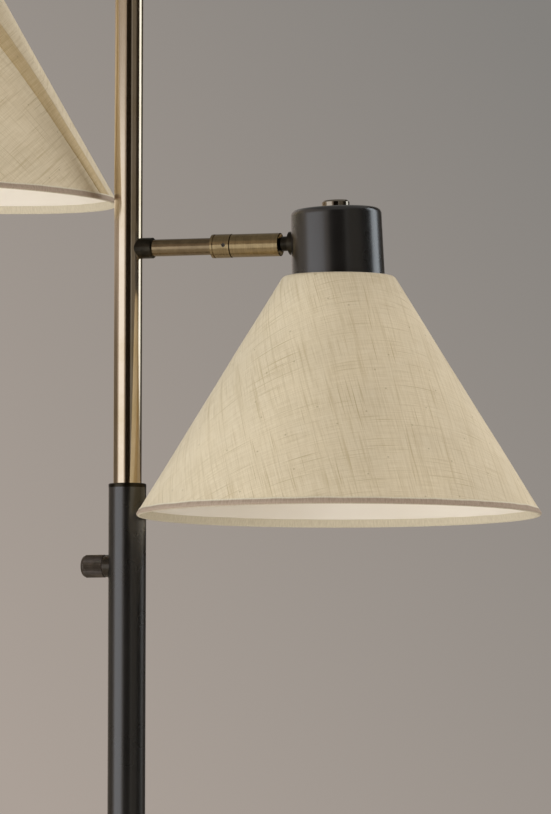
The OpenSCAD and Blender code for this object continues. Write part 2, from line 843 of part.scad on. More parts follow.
// Half the barrel's section: radius along X, station along the arm along Y
module barrel_section() {
    r = barrel_d / 2;
    spigot_r = spigot_d / 2;
    groove_r = spigot_r - keeper_groove_depth;
    groove_start = keeper_x - keeper_groove_w / 2;
    groove_end = keeper_x + keeper_groove_w / 2;
    lip_x = ball_x + mouth_start;
    lip_r = sqrt(ball_seat_r * ball_seat_r - mouth_start * mouth_start);
    difference() {
        polygon([
            [barrel_bore / 2, spigot_x], [spigot_r, spigot_x],
            [spigot_r, groove_start], [groove_r, groove_start],
            [groove_r, groove_end], [spigot_r, groove_end],
            [spigot_r, barrel_x], [r - barrel_edge, barrel_x], [r, barrel_x + barrel_edge],
            [r, barrel_end_x], [r - mouth_wall, barrel_end_x], [lip_r - fit, lip_x],
            [barrel_bore / 2, lip_x]]);
        translate([0, ball_x]) circle(ball_seat_r);
    }
}

// Ball, neck, flange and thread in one turned piece, bored for the wire
module ball_neck(side) {
    color(dark_bronze) on_ball(side) difference() {
        union() {
            sphere(r = ball_r);
            rod_x(neck_start_r, 0, neck_cone_x);
            translate([neck_cone_x, 0, 0]) rotate([0, 90, 0])
                cylinder(r1 = neck_start_r, r2 = neck_d / 2, h = neck_full_x - neck_cone_x);
            rod_x(neck_d / 2, neck_full_x, flange_x + past);
            difference() {
                rod_x(flange_d / 2, flange_x, cup_wall_x + 2);
                translate([head_reach, 0, 0]) cup_body(fit);
            }
            rod_x(neck_thread_d / 2, flange_x, neck_tail_x);
        }
        rod_x(neck_bore / 2, -ball_d, neck_tail_x + past);
    }
}

// Hexagon nut that clamps the cup's wall against the neck's flange
module neck_nut(side) {
    color(steel) on_ball(side) difference() {
        intersection() {
            translate([cup_wall_x, 0, 0]) rotate([0, 90, 0])
                cylinder(d = neck_nut_af / cos(30), h = cup_wall + neck_nut_t, $fn = 6);
            translate([head_reach, 0, 0]) cup_body(-cup_wall - fit);
        }
        rod_x(neck_thread_d / 2 + fit, 0, neck_tail_x + past);
    }
}

// ---- Heads ----

// The cup's body, grown by an amount that may be negative, without its rounded edge
module cup_body(grow) {
    translate([0, 0, -cup_drop])
        cylinder(r1 = cup_rim_d / 2 + grow, r2 = cup_top_d / 2 + grow, h = cup_drop + cup_rise);
}

// Half the cup's section, drawn in by an amount, with a rounded top edge
module cup_section(inward) {
    top_r = cup_top_d / 2 - inward;
    rim_r = cup_rim_d / 2 - inward;
    edge_r = cup_edge_r - inward;
    top_z = cup_rise - inward;
    polygon([[0, -cup_drop], [rim_r, -cup_drop], [top_r, top_z - edge_r],
        [top_r - edge_r, top_z], [0, top_z]]);
    translate([top_r - edge_r, top_z - edge_r]) circle(edge_r);
}

module socket_cup(side) {
    color(satin_black) on_cup_axis(side) difference() {
        rotate_extrude() cup_section(0);
        rotate_extrude() cup_section(cup_wall);
        rod_z(cup_rim_d / 2 - cup_wall, -cup_drop - past, -cup_drop + 0.01);
        rod_z(nipple_d / 2 + fit, 0, cup_rise + past);
        translate([-head_reach, 0, 0])
            rod_x(neck_thread_d / 2 + fit, cup_wall_x - 5, head_reach - cup_mid_r / 2);
    }
}

module top_nut(side) {
    edge = 1.2;
    r = top_nut_d / 2;
    color(nickel) on_cup_axis(side) translate([0, 0, cup_rise]) difference() {
        rotate_extrude() polygon([
            [0, 0], [r, 0], [r, top_nut_h - edge], [r - edge, top_nut_h], [0, top_nut_h]]);
        rod_z(nipple_d / 2 + fit, -past, nipple_in_nut + 0.2);
    }
}

// Threaded tube with the flange that the cup rests on
module nipple(side) {
    color(steel) on_cup_axis(side) difference() {
        union() {
            rod_z(nipple_d / 2, socket_roof_z - nipple_in_socket, cup_rise + nipple_in_nut);
            translate([0, 0, cup_ceiling_z - nipple_flange_t])
                cylinder(d = nipple_flange_d, h = nipple_flange_t, $fn = 6);
        }
        rod_z(nipple_bore / 2, socket_roof_z - nipple_in_socket - past,
            cup_rise + nipple_in_nut + past);
    }
}

// Phenolic lamp socket and, as a separate solid in it, the screw shell
module socket(side) {
    on_cup_axis(side) {
        color(phenolic) difference() {
            union() {
                rod_z(socket_d / 2, fitter_z, socket_roof_z);
                rod_z(sleeve_d / 2, sleeve_foot_z, fitter_z + past);
            }
            rod_z(nipple_d / 2 + fit, socket_roof_z - nipple_in_socket - fit,
                socket_roof_z + past);
            rod_z(shell_r + fit, sleeve_foot_z - past, shell_top_z);
        }
        color(nickel) difference() {
            rod_z(shell_r, shell_foot_z, shell_top_z - fit);
            rod_z(shell_in_r, shell_foot_z - past, shell_top_z - fit - shell_wall);
        }
    }
}

// Knurled ring that clamps the shade's fitter under the socket's shoulder
module shade_nut(side) {
    color(phenolic) on_cup_axis(side)
        translate([0, 0, fitter_z - fitter_t - shade_nut_h]) difference() {
            linear_extrude(shade_nut_h) knurl_outline(shade_nut_d / 2, 0.6, 30);
            rod_z(sleeve_d / 2 + fit, -past, shade_nut_h + past);
        }
}

// A point of the shade, seen from the fitter in the head's own lean
function in_head(point, side) = [
    point.x * cos(shade_lean[side]) + point.z * sin(shade_lean[side]), point.y,
    -point.x * sin(shade_lean[side]) + point.z * cos(shade_lean[side])];

// Fitter ring with three bent spokes to the top ring, and the ring in the lower hem
module shade_frame(side) {
    spoke_start_r = fitter_out_r - 1;
    color(nickel) {
        on_cup_axis(side) translate([0, 0, fitter_z]) {
            tube(fitter_out_r, fitter_in_r, -fitter_t, 0);
            for (a = [60, 180, 300]) {
                around = [cos(a), sin(a), 0];
                start = spoke_start_r * around - [0, 0, fitter_t / 2];
                bend = in_head(spoke_bend_r * around - [0, 0, spoke_drop], side);
                end = in_head(top_ring_r * around + [0, 0, top_ring_z], side);
                straight_wire(start, bend, frame_wire / 2);
                translate(bend) sphere(d = frame_wire / 2 + 0.3);
                straight_wire(bend, end, frame_wire / 2);
            }
        }
        on_fitter(side) translate([0, 0, top_ring_z])
            rotate_extrude() translate([top_ring_r, 0]) circle(d = frame_wire);
        on_fitter(side) translate([0, 0, rim_end_z])
            rotate_extrude() translate([rim_end_r, 0]) circle(d = hem_wire);
    }
}

// A band along the shade's slope: from one distance under the outer face to another,
// between a height above the tangent point on the roll and one above the hem's
module slope_band(shallow, deep, top_gap, foot_gap) {
    top = linen_start + top_gap * slope_down;
    foot = linen_end - foot_gap * slope_down;
    polygon([top - shallow * slope_out, foot - shallow * slope_out,
        foot - deep * slope_out, top - deep * slope_out]);
}

// Points on an arc in the shade's section, ends included
function section_arc(centre, r, a0, a1, steps) =
    [for (i = [0:steps]) let (a = a0 + (a1 - a0) * i / steps)
        centre + r * [cos(a), sin(a)]];

// Half the linen's section: rolled top edge, sloping side and a hem of doubled cloth
module linen_section() {
    roll = [roll_r, roll_z];
    rim = [rim_end_r, rim_end_z];
    hem_top = rim - (hem_h - hem_t) * slope_down;
    shoulder = linen_end - (hem_h - hem_t) * slope_down - linen_t * slope_out;
    difference() {
        polygon(concat(
            section_arc(roll, top_roll_r, roll_turn, slope_angle, 8),
            section_arc(rim, hem_r, slope_angle, slope_angle - 180, 8),
            section_arc(hem_top, hem_r, slope_angle - 180, slope_angle - 240, 3),
            [shoulder - hem_r * slope_down],
            section_arc(roll, top_roll_r - linen_t, slope_angle, roll_turn, 8)));
        translate(rim) circle(d = hem_wire + 2 * fit);
    }
}

module shade_linen(side) {
    color(linen) on_fitter(side) rotate_extrude() linen_section();
}

module shade_lining(side) {
    color(white_lining) on_fitter(side) rotate_extrude()
        slope_band(linen_t + fit, linen_t + fit + lining_t, 7, hem_h);
}

// Glass bulb, and as a separate solid its screw base
module bulb(side) {
    on_cup_axis(side) {
        color(nickel) rod_z(bulb_base_r, bulb_top_z - bulb_base_len, bulb_top_z);
        color("#f4efe2") difference() {
            bulb_glass(0);
            bulb_glass(bulb_glass_t);
        }
    }
}

// The glass's outline, drawn in by an amount: a ball with a tapering neck
module bulb_glass(inward) {
    neck_top_z = bulb_top_z - bulb_base_len - fit;
    neck_foot_z = sleeve_foot_z - 1;
    ball_z = bulb_foot_z + bulb_r;
    taper_z = ball_z + bulb_r * 0.5;
    taper_r = bulb_r * sqrt(0.75);
    translate([0, 0, ball_z]) sphere(r = bulb_r - inward);
    rod_z(bulb_neck_r - inward, neck_foot_z, neck_top_z - inward);
    translate([0, 0, taper_z]) cylinder(r1 = taper_r - inward, r2 = bulb_neck_r - inward,
        h = neck_foot_z - taper_z + 0.01);
}

// ---- Wires ----

// One wire for each arm, from the switch up the pole and out through the arm
module lamp_wires() {
    bend_r = 5.5;
    side_y = 4.6;
    start_z = switch_z + switch_h / 2;
    end_x = ball_x - ball_r - 4;
    rise_x = -4.2;
    color(pvc) for (side = [right, left]) {
        // The left wire climbs beside the right stud and crosses over above it.
        climb = side == right
            ? [[rise_x, 0, start_z - arm_z[side]]]
            : [[0, -side_y, start_z - arm_z[side]], [0, -side_y, -90], [rise_x, 0, -30]];
        route = concat(climb, arc_xz([rise_x + bend_r, -bend_r], bend_r, 180, 90, 0, 6),
            [[end_x, 0, 0]]);
        on_arm(side) swept_wire(route, wire_d, [0, 1, 0], 8);
    }
}

// The wire through the neck and over the socket's shoulder to its roof
module head_wire(side) {
    turn_r = 3;
    climb_x = neck_tail_x + 2;
    over_z = socket_roof_z + wire_d / 2 + 0.7;
    drop_x = head_reach - nipple_flange_d / 2 - 4.5;
    route = concat([[-ball_r + 1, 0, 0]],
        arc_xz([climb_x - turn_r, turn_r], turn_r, 270, 360, 0, 4),
        arc_xz([climb_x + 2, over_z - 2], 2, 180, 90, 0, 4),
        [[drop_x, 0, over_z]]);
    color(pvc) on_ball(side) swept_wire(route, wire_d - 0.4, [0, 1, 0], 8);
}

// ---- The model ----

foot_pad();
foot_plate();
foot_screw();
base_pole();
cord_grommet();
mains_cable();
middle_pole();
pole_sleeves();
switch_housing();
switch_body();
switch_nut();
switch_shaft();
switch_knob();
reducing_bush();
brass_tube();
upper_tube();
guide_bush();
lock_collar();
lock_screw();
extension_tube();
spring_stop();
tension_spring();
plunger_rod();
end_bush();
pad_plate();
ceiling_pad();
arm_studs();
arm_collars();
swivel_rings();
swivel_screws();
lamp_wires();
arm_tube(right);  // right_arm_tube
ball_barrel(right);  // right_ball_barrel
ball_neck(right);  // right_ball_neck
neck_nut(right);  // right_neck_nut
socket_cup(right);  // right_socket_cup
top_nut(right);  // right_top_nut
nipple(right);  // right_nipple
socket(right);  // right_socket
shade_nut(right);  // right_shade_nut
shade_frame(right);  // right_shade_frame
shade_linen(right);  // right_shade_linen
shade_lining(right);  // right_shade_lining
bulb(right);  // right_bulb
head_wire(right);  // right_head_wire
arm_tube(left);  // left_arm_tube
ball_barrel(left);  // left_ball_barrel
ball_neck(left);  // left_ball_neck
neck_nut(left);  // left_neck_nut
socket_cup(left);  // left_socket_cup
top_nut(left);  // left_top_nut
nipple(left);  // left_nipple
socket(left);  // left_socket
shade_nut(left);  // left_shade_nut
shade_frame(left);  // left_shade_frame
shade_linen(left);  // left_shade_linen
shade_lining(left);  // left_shade_lining
bulb(left);  // left_bulb
head_wire(left);  // left_head_wire
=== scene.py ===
"""Looks of a tension pole lamp: a black lower pole and a brass upper pole, held between
floor and ceiling by a sprung top, with two arms that end in cone shades of linen."""

import math

import bmesh
import bpy
from mathutils import Matrix, Vector, noise


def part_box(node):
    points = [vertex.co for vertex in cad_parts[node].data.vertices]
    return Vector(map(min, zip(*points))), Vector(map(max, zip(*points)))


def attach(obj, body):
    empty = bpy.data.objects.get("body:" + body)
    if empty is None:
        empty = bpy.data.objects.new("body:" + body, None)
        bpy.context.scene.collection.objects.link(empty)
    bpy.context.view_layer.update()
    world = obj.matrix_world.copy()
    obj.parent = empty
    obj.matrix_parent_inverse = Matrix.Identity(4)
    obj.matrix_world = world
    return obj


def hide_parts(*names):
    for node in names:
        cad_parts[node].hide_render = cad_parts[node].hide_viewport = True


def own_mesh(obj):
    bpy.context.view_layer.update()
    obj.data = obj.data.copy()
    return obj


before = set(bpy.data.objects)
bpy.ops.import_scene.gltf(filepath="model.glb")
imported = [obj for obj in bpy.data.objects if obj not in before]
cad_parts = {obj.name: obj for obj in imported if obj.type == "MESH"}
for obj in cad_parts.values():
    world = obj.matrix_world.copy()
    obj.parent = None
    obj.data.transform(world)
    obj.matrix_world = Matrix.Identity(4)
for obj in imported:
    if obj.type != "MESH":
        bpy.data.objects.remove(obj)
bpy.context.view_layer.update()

# ---- Camera ----
# A long lens, 6.6 m from the pole and below the heads, so it looks up at them. It stands
# 19 degrees round from the front, on the lower arm's side.
MM = 0.001
IMAGE_HEIGHT = 814
camera_distance = 6600 * MM
metres_per_pixel = 0.6703 * MM
camera_azimuth = math.radians(19.4)
camera_pitch = math.radians(4.0)
camera_roll = math.radians(0.15)
aimed_height = 1355.8 * MM
pole_off_centre = -147.8 * metres_per_pixel

right_hand = Vector((math.cos(camera_azimuth), math.sin(camera_azimuth), 0))
forward = Vector((
    -math.sin(camera_azimuth) * math.cos(camera_pitch),
    math.cos(camera_azimuth) * math.cos(camera_pitch),
    math.sin(camera_pitch)))
overhead = right_hand.cross(forward)
camera_right = right_hand * math.cos(camera_roll) + overhead * math.sin(camera_roll)
camera_up = overhead * math.cos(camera_roll) - right_hand * math.sin(camera_roll)
camera_data = bpy.data.cameras.new("camera")
camera_data.sensor_width = 36
camera_data.lens = camera_distance / metres_per_pixel / IMAGE_HEIGHT * camera_data.sensor_width
camera_data.clip_start = 0.1
camera_data.clip_end = 100
camera = bpy.data.objects.new("camera", camera_data)
camera_place = Matrix((camera_right, camera_up, -forward)).transposed().to_4x4()
camera_place.translation = (
    Vector((0, 0, aimed_height)) - camera_distance * forward - pole_off_centre * right_hand)
camera.matrix_world = camera_place
bpy.context.scene.collection.objects.link(camera)
bpy.context.scene.camera = camera


# ---- Black pole ----
# Three steel tubes, butted over inner sleeves and coated after rolling. The powder coat
# is satin, with the faint ripple that a baked powder has.
def linear(hex_code):
    """A colour's linear values, from its sRGB hex code."""
    parts = [int(hex_code[i:i + 2], 16) / 255 for i in (1, 3, 5)]
    return [p / 12.92 if p <= 0.04045 else ((p + 0.055) / 1.055) ** 2.4 for p in parts] + [1]


def add(tree, kind, inputs=None, **settings):
    """Adds a shader node with its settings, and with a value or a link for each input."""
    made = tree.nodes.new("ShaderNode" + kind)
    stops = settings.pop("stops", None)
    for name, value in settings.items():
        setattr(made, name, value)
    for name, value in (inputs or {}).items():
        if isinstance(value, bpy.types.NodeSocket):
            tree.links.new(value, made.inputs[name])
        else:
            made.inputs[name].default_value = value
    if stops:
        ramp = made.color_ramp.elements
        while len(ramp) < len(stops):
            ramp.new(1)
        for element, (position, colour) in zip(ramp, stops):
            element.position = position
            element.color = linear(colour)
    return made


def blank_material(name):
    """A new material with nothing but its output node, and its node tree."""
    material = bpy.data.materials.new(name)
    material.use_nodes = True
    material.node_tree.nodes.clear()
    return material, material.node_tree


def close(tree, shader):
    """Links a shader to the material's output."""
    add(tree, "OutputMaterial", {"Surface": shader.outputs["BSDF"]})


def dress(material, *names):
    """Gives a material to CAD nodes."""
    for name in names:
        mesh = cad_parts[name].data
        mesh.materials.clear()
        mesh.materials.append(material)


powder_coat, tree = blank_material("satin_black_powder_coat")
place = add(tree, "TexCoord").outputs["Object"]
# The ripple of the coat is about 1.4 mm from crest to crest, and the cloudiness 30 mm.
ripple = add(tree, "TexNoise", {"Vector": place, "Scale": 700, "Detail": 2})
clouds = add(tree, "TexNoise", {"Vector": place, "Scale": 33, "Detail": 3})
tone = add(tree, "ValToRGB", {"Fac": clouds.outputs["Fac"]},
           stops=[(0.3, "#0e0e0e"), (0.7, "#141313")])
gloss = add(tree, "MapRange", {"Value": clouds.outputs["Fac"], "To Min": 0.24, "To Max": 0.32})
bump = add(tree, "Bump", {"Height": ripple.outputs["Fac"], "Strength": 0.12,
                          "Distance": 0.05 * MM})
close(tree, add(tree, "BsdfPrincipled", {
    "Base Color": tone.outputs["Color"], "Roughness": gloss.outputs["Result"],
    "Specular IOR Level": 1, "Coat Weight": 0.9, "Coat Roughness": 0.2,
    "Normal": bump.outputs["Normal"]}))
dress(powder_coat, "base_pole", "middle_pole", "switch_housing")

turned_steel, tree = blank_material("turned_steel")
place = add(tree, "TexCoord").outputs["Object"]
# Tool marks of a lathe, 0.3 mm apart.
marks = add(tree, "TexNoise", {
    "Vector": add(tree, "Mapping", {"Vector": place, "Scale": (60, 60, 3300)}).outputs[0],
    "Scale": 1, "Detail": 2})
tone = add(tree, "ValToRGB", {"Fac": marks.outputs["Fac"]},
           stops=[(0.3, "#8b8c8e"), (0.7, "#a7a8aa")])
bump = add(tree, "Bump", {"Height": marks.outputs["Fac"], "Strength": 0.2,
                          "Distance": 0.03 * MM})
close(tree, add(tree, "BsdfPrincipled", {
    "Base Color": tone.outputs["Color"], "Metallic": 1, "Roughness": 0.34,
    "Normal": bump.outputs["Normal"]}))
dress(turned_steel, "pole_sleeves", "foot_screw")

# ---- Foot ----
# A cast iron plate with a hub, enamelled in satin black over the sand mould's grain. The
# pole stands in the hub, and a grub screw at the back holds it.
cast_enamel, tree = blank_material("enamelled_cast_iron")
place = add(tree, "TexCoord").outputs["Object"]
# The grain of the mould's sand is 0.8 mm, softened by the enamel; wear shows at 25 mm.
sand = add(tree, "TexNoise", {"Vector": place, "Scale": 1250, "Detail": 4})
wear = add(tree, "TexNoise", {"Vector": place, "Scale": 40, "Detail": 4})
tone = add(tree, "ValToRGB", {"Fac": wear.outputs["Fac"]},
           stops=[(0.35, "#131313"), (0.75, "#1e1d1c")])
bump = add(tree, "Bump", {"Height": sand.outputs["Fac"], "Strength": 0.35,
                          "Distance": 0.12 * MM})
close(tree, add(tree, "BsdfPrincipled", {
    "Base Color": tone.outputs["Color"], "Roughness": 0.46, "Normal": bump.outputs["Normal"]}))
dress(cast_enamel, "foot_plate")

# ---- Rubber pads ----
# Moulded black rubber, matt, one under the foot and one against the ceiling. Rings
# moulded in the face that presses keep it from sliding.
rubber, tree = blank_material("moulded_black_rubber")
place = add(tree, "TexCoord").outputs["Object"]
# The mould's fine spark-eroded grain is 0.5 mm, and dust lies in soft 20 mm patches.
grain = add(tree, "TexNoise", {"Vector": place, "Scale": 2000, "Detail": 2})
dust = add(tree, "TexNoise", {"Vector": place, "Scale": 50, "Detail": 5})
tone = add(tree, "ValToRGB", {"Fac": dust.outputs["Fac"]},
           stops=[(0.35, "#1d1d1c"), (0.8, "#2e2c2a")])
bump = add(tree, "Bump", {"Height": grain.outputs["Fac"], "Strength": 0.3,
                          "Distance": 0.06 * MM})
close(tree, add(tree, "BsdfPrincipled", {
    "Base Color": tone.outputs["Color"], "Roughness": 0.78, "Normal": bump.outputs["Normal"]}))


def spun(section, steps, closed=False):
    """A bmesh of a section, given as (radius, height) in millimetres, spun round Z."""
    bm = bmesh.new()
    corners = [bm.verts.new((r * MM, 0, z * MM)) for r, z in section]
    following = corners[1:] + corners[:1] if closed else corners[1:]
    edges = [bm.edges.new(pair) for pair in zip(corners, following)]
    bmesh.ops.spin(bm, geom=corners + edges, cent=(0, 0, 0), axis=(0, 0, 1),
                   angle=2 * math.pi, steps=steps, use_merge=True)
    bmesh.ops.remove_doubles(bm, verts=bm.verts, dist=1e-7)
    bmesh.ops.recalc_face_normals(bm, faces=bm.faces)
    return bm


def piece(bm, name, material, body, nodes=(), place=None, crease=40):
    """Makes a bmesh a piece that rides on a body, with its place in its mesh."""
    if place is not None:
        bmesh.ops.transform(bm, matrix=place, verts=bm.verts)
    mesh = bpy.data.meshes.new(name)
    bm.to_mesh(mesh)
    bm.free()
    mesh.materials.append(material)
    mesh.shade_smooth()
    mesh.set_sharp_from_angle(angle=math.radians(crease))
    made = bpy.data.objects.new(name, mesh)
    bpy.context.scene.collection.objects.link(made)
    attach(made, body)
    if nodes:
        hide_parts(*nodes)
    return made


def ringed_face(outer_r, height, pitch, depth):
    """Points of a flat face with round-bottomed rings in it, from the edge to the middle."""
    points = []
    for ring in range(int((outer_r - 6) / pitch)):
        groove_r = outer_r - 4 - ring * pitch
        points += [(groove_r + 1, height), (groove_r + 0.5, height - depth),
                   (groove_r - 0.5, height - depth), (groove_r - 1, height)]
    return points + [(0, height)]


pad_r, pad_t = 51, 4
foot_face = [(r, -z) for r, z in ringed_face(pad_r, 0, 6, 1)]
piece(spun([(0, pad_t), (pad_r, pad_t), (pad_r, 1), (pad_r - 0.3, 0.3), (pad_r - 1, 0)]
           + foot_face, 128),
      "foot_pad_ringed", rubber, "pole", ["foot_pad"])

ceiling_low, ceiling_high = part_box("ceiling_pad")
top_pad_r = (ceiling_high.x - ceiling_low.x) / 2 / MM
rod_top, pad_top = ceiling_low.z / MM, ceiling_high.z / MM
plate_r, plate_t = 29.05, 3
top_face = ringed_face(top_pad_r, pad_top, 5, 1.2)
piece(spun([(0, rod_top + plate_t), (plate_r, rod_top + plate_t), (plate_r, rod_top),
            (top_pad_r - 0.5, rod_top), (top_pad_r, rod_top + 0.5),
            (top_pad_r, pad_top - 2), (top_pad_r - 0.6, pad_top - 0.6),
            (top_pad_r - 2, pad_top)] + top_face, 96),
      "ceiling_pad_ringed", rubber, "plunger", ["ceiling_pad"])
dress(rubber, "cord_grommet")

# ---- Brass pole ----
# Brass tube, polished along its length, darkened a little by age and lacquered. It shows
# the room as upright stripes, with hair-fine lines of the polish in them.
old_brass, tree = blank_material("polished_antique_brass_tube")
place = add(tree, "TexCoord").outputs["Object"]
# Polishing lines are 0.4 mm wide and 80 mm long, drawn coarser than the real ones so
# that they show; the tarnish lies in clouds 40 mm across.
lines = add(tree, "TexNoise", {
    "Vector": add(tree, "Mapping", {"Vector": place, "Scale": (2500, 2500, 12)}).outputs[0],
    "Scale": 1, "Detail": 3})
tarnish = add(tree, "TexNoise", {"Vector": place, "Scale": 25, "Detail": 5, "Roughness": 0.6})
tone = add(tree, "ValToRGB", {"Fac": tarnish.outputs["Fac"]},
           stops=[(0.25, "#d3c2a2"), (0.5, "#e0d0b8"), (0.8, "#e5d7c2")])
gloss = add(tree, "MapRange", {"Value": lines.outputs["Fac"], "To Min": 0.1, "To Max": 0.16})
bump = add(tree, "Bump", {"Height": lines.outputs["Fac"], "Strength": 0.05,
                          "Distance": 0.02 * MM})
close(tree, add(tree, "BsdfPrincipled", {
    "Base Color": tone.outputs["Color"], "Metallic": 1, "Roughness": gloss.outputs["Result"],
    "Normal": bump.outputs["Normal"]}))
dress(old_brass, "brass_tube", "upper_tube", "extension_tube", "lock_collar", "lock_screw")

# ---- Dark bronze fittings ----
# The bush between the poles, the arms' collars, the ball necks and the knob are brass,
# chemically darkened to a brown black and oiled. The knob is rubbed lighter by fingers.
def bronze(name, colours, low_gloss, high_gloss):
    """Darkened brass, uneven over about 6 mm."""
    material, tree = blank_material(name)
    place = add(tree, "TexCoord").outputs["Object"]
    patina = add(tree, "TexNoise", {"Vector": place, "Scale": 160, "Detail": 5})
    tone = add(tree, "ValToRGB", {"Fac": patina.outputs["Fac"]},
               stops=[(0.3, colours[0]), (0.7, colours[1])])
    gloss = add(tree, "MapRange", {"Value": patina.outputs["Fac"], "To Min": low_gloss,
                                   "To Max": high_gloss})
    close(tree, add(tree, "BsdfPrincipled", {
        "Base Color": tone.outputs["Color"], "Metallic": 1,
        "Roughness": gloss.outputs["Result"]}))
    return material


dark_bronze = bronze("oiled_dark_bronze", ("#27241f", "#433e35"), 0.24, 0.36)
rubbed_bronze = bronze("finger_rubbed_bronze", ("#4f4944", "#6b635c"), 0.3, 0.42)
dress(dark_bronze, "reducing_bush", "arm_collars", "right_ball_neck", "left_ball_neck")
dress(rubbed_bronze, "switch_knob")

# ---- Switch ----
# A rotary switch of moulded brown-black phenolic inside its housing, held by a ring nut
# saddled on the tube. Its turned steel shaft carries the knurled knob.
bright_nickel, tree = blank_material("bright_nickel_plate")
place = add(tree, "TexCoord").outputs["Object"]
# Bright nickel plate, as on the shades' wire frames: near a mirror, with a faint bloom
# from handling in 8 mm patches.
bloom = add(tree, "TexNoise", {"Vector": place, "Scale": 125, "Detail": 4})
gloss = add(tree, "MapRange", {"Value": bloom.outputs["Fac"], "To Min": 0.08, "To Max": 0.2})
close(tree, add(tree, "BsdfPrincipled", {
    "Base Color": linear("#c9c4ba"), "Metallic": 1, "Roughness": gloss.outputs["Result"]}))
dress(bright_nickel, "right_shade_frame", "left_shade_frame")

phenolic, tree = blank_material("moulded_phenolic")
place = add(tree, "TexCoord").outputs["Object"]
# Wood-flour filler mottles the moulding over 2 mm.
filler = add(tree, "TexNoise", {"Vector": place, "Scale": 500, "Detail": 4})
tone = add(tree, "ValToRGB", {"Fac": filler.outputs["Fac"]},
           stops=[(0.3, "#1c1512"), (0.7, "#2a201a")])
close(tree, add(tree, "BsdfPrincipled", {
    "Base Color": tone.outputs["Color"], "Roughness": 0.3}))
dress(phenolic, "switch_body", "right_shade_nut", "left_shade_nut")
dress(turned_steel, "switch_shaft")

# ---- Sprung top ----
# The extension tube slides in a turned nylon bush and holds a coiled steel spring. It
# presses the steel plunger rod, its plate and the pad against the ceiling.
nylon, tree = blank_material("turned_natural_nylon")
place = add(tree, "TexCoord").outputs["Object"]
# Turned nylon keeps fine rings 0.5 mm apart and lets a little light in.
rings = add(tree, "TexNoise", {
    "Vector": add(tree, "Mapping", {"Vector": place, "Scale": (40, 40, 2000)}).outputs[0],
    "Scale": 1, "Detail": 2})
bump = add(tree, "Bump", {"Height": rings.outputs["Fac"], "Strength": 0.2,
                          "Distance": 0.04 * MM})
close(tree, add(tree, "BsdfPrincipled", {
    "Base Color": linear("#d6d1c2"), "Roughness": 0.42, "Subsurface Weight": 0.15,
    "Subsurface Scale": 2 * MM, "Normal": bump.outputs["Normal"]}))
dress(nylon, "guide_bush", "end_bush")
dress(turned_steel, "plunger_rod", "pad_plate", "spring_stop")

spring_steel, tree = blank_material("drawn_spring_steel_wire")
place = add(tree, "TexCoord").outputs["Object"]
# Tempering leaves blue-brown tints that drift over 15 mm.
temper = add(tree, "TexNoise", {"Vector": place, "Scale": 66, "Detail": 3})
tone = add(tree, "ValToRGB", {"Fac": temper.outputs["Fac"]},
           stops=[(0.3, "#6f7073"), (0.7, "#8a8378")])
close(tree, add(tree, "BsdfPrincipled", {
    "Base Color": tone.outputs["Color"], "Metallic": 1, "Roughness": 0.3}))

spring_foot, spring_length, spring_wire, spring_curls = 2258.25, 76, 1.8, 14
coil_r, curl_steps = 5.475, 32
bm = bmesh.new()
ring = bmesh.ops.create_circle(bm, cap_ends=True, radius=spring_wire / 2 * MM, segments=12)
bmesh.ops.rotate(bm, verts=ring["verts"], matrix=Matrix.Rotation(math.pi / 2, 3, "X"))
bmesh.ops.translate(bm, verts=ring["verts"],
                    vec=(coil_r * MM, 0, (spring_foot + spring_wire / 2) * MM))
climb = (spring_length - spring_wire) * MM / (spring_curls * curl_steps)
bmesh.ops.spin(bm, geom=bm.faces[:] + bm.edges[:] + bm.verts[:], cent=(0, 0, 0),
               axis=(0, 0, 1), dvec=(0, 0, climb), angle=2 * math.pi * spring_curls,
               steps=spring_curls * curl_steps)
bmesh.ops.recalc_face_normals(bm, faces=bm.faces)
spring = piece(bm, "coiled_spring", spring_steel, "extension", ["tension_spring"])
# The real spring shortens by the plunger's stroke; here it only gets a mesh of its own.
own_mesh(spring)

# ---- Arms ----
# On each, a brass tube screwed over a hollow stud, then a ring in which the barrel with
# the ball turns. The tube is polished and the ring and barrel are turned and darkened.
SIDES = {
    "right": {"height": 1462, "turn": 0, "tilt": 2.4, "lean": 2.2, "grain": 66},
    "left": {"height": 1683.7, "turn": 175.6, "tilt": 2.4, "lean": 0, "grain": 117},
}
ball_station = 101.825


def arm_place(side):
    """Where an arm's root is on the pole's axis, with X running out along the arm."""
    numbers = SIDES[side]
    return (Matrix.Translation((0, 0, numbers["height"] * MM))
            @ Matrix.Rotation(math.radians(numbers["turn"]), 4, "Z"))


def ball_place(side):
    """Where a head's ball is, with X running out along its neck."""
    return (arm_place(side) @ Matrix.Translation((ball_station * MM, 0, 0))
            @ Matrix.Rotation(math.radians(-SIDES[side]["tilt"]), 4, "Y"))


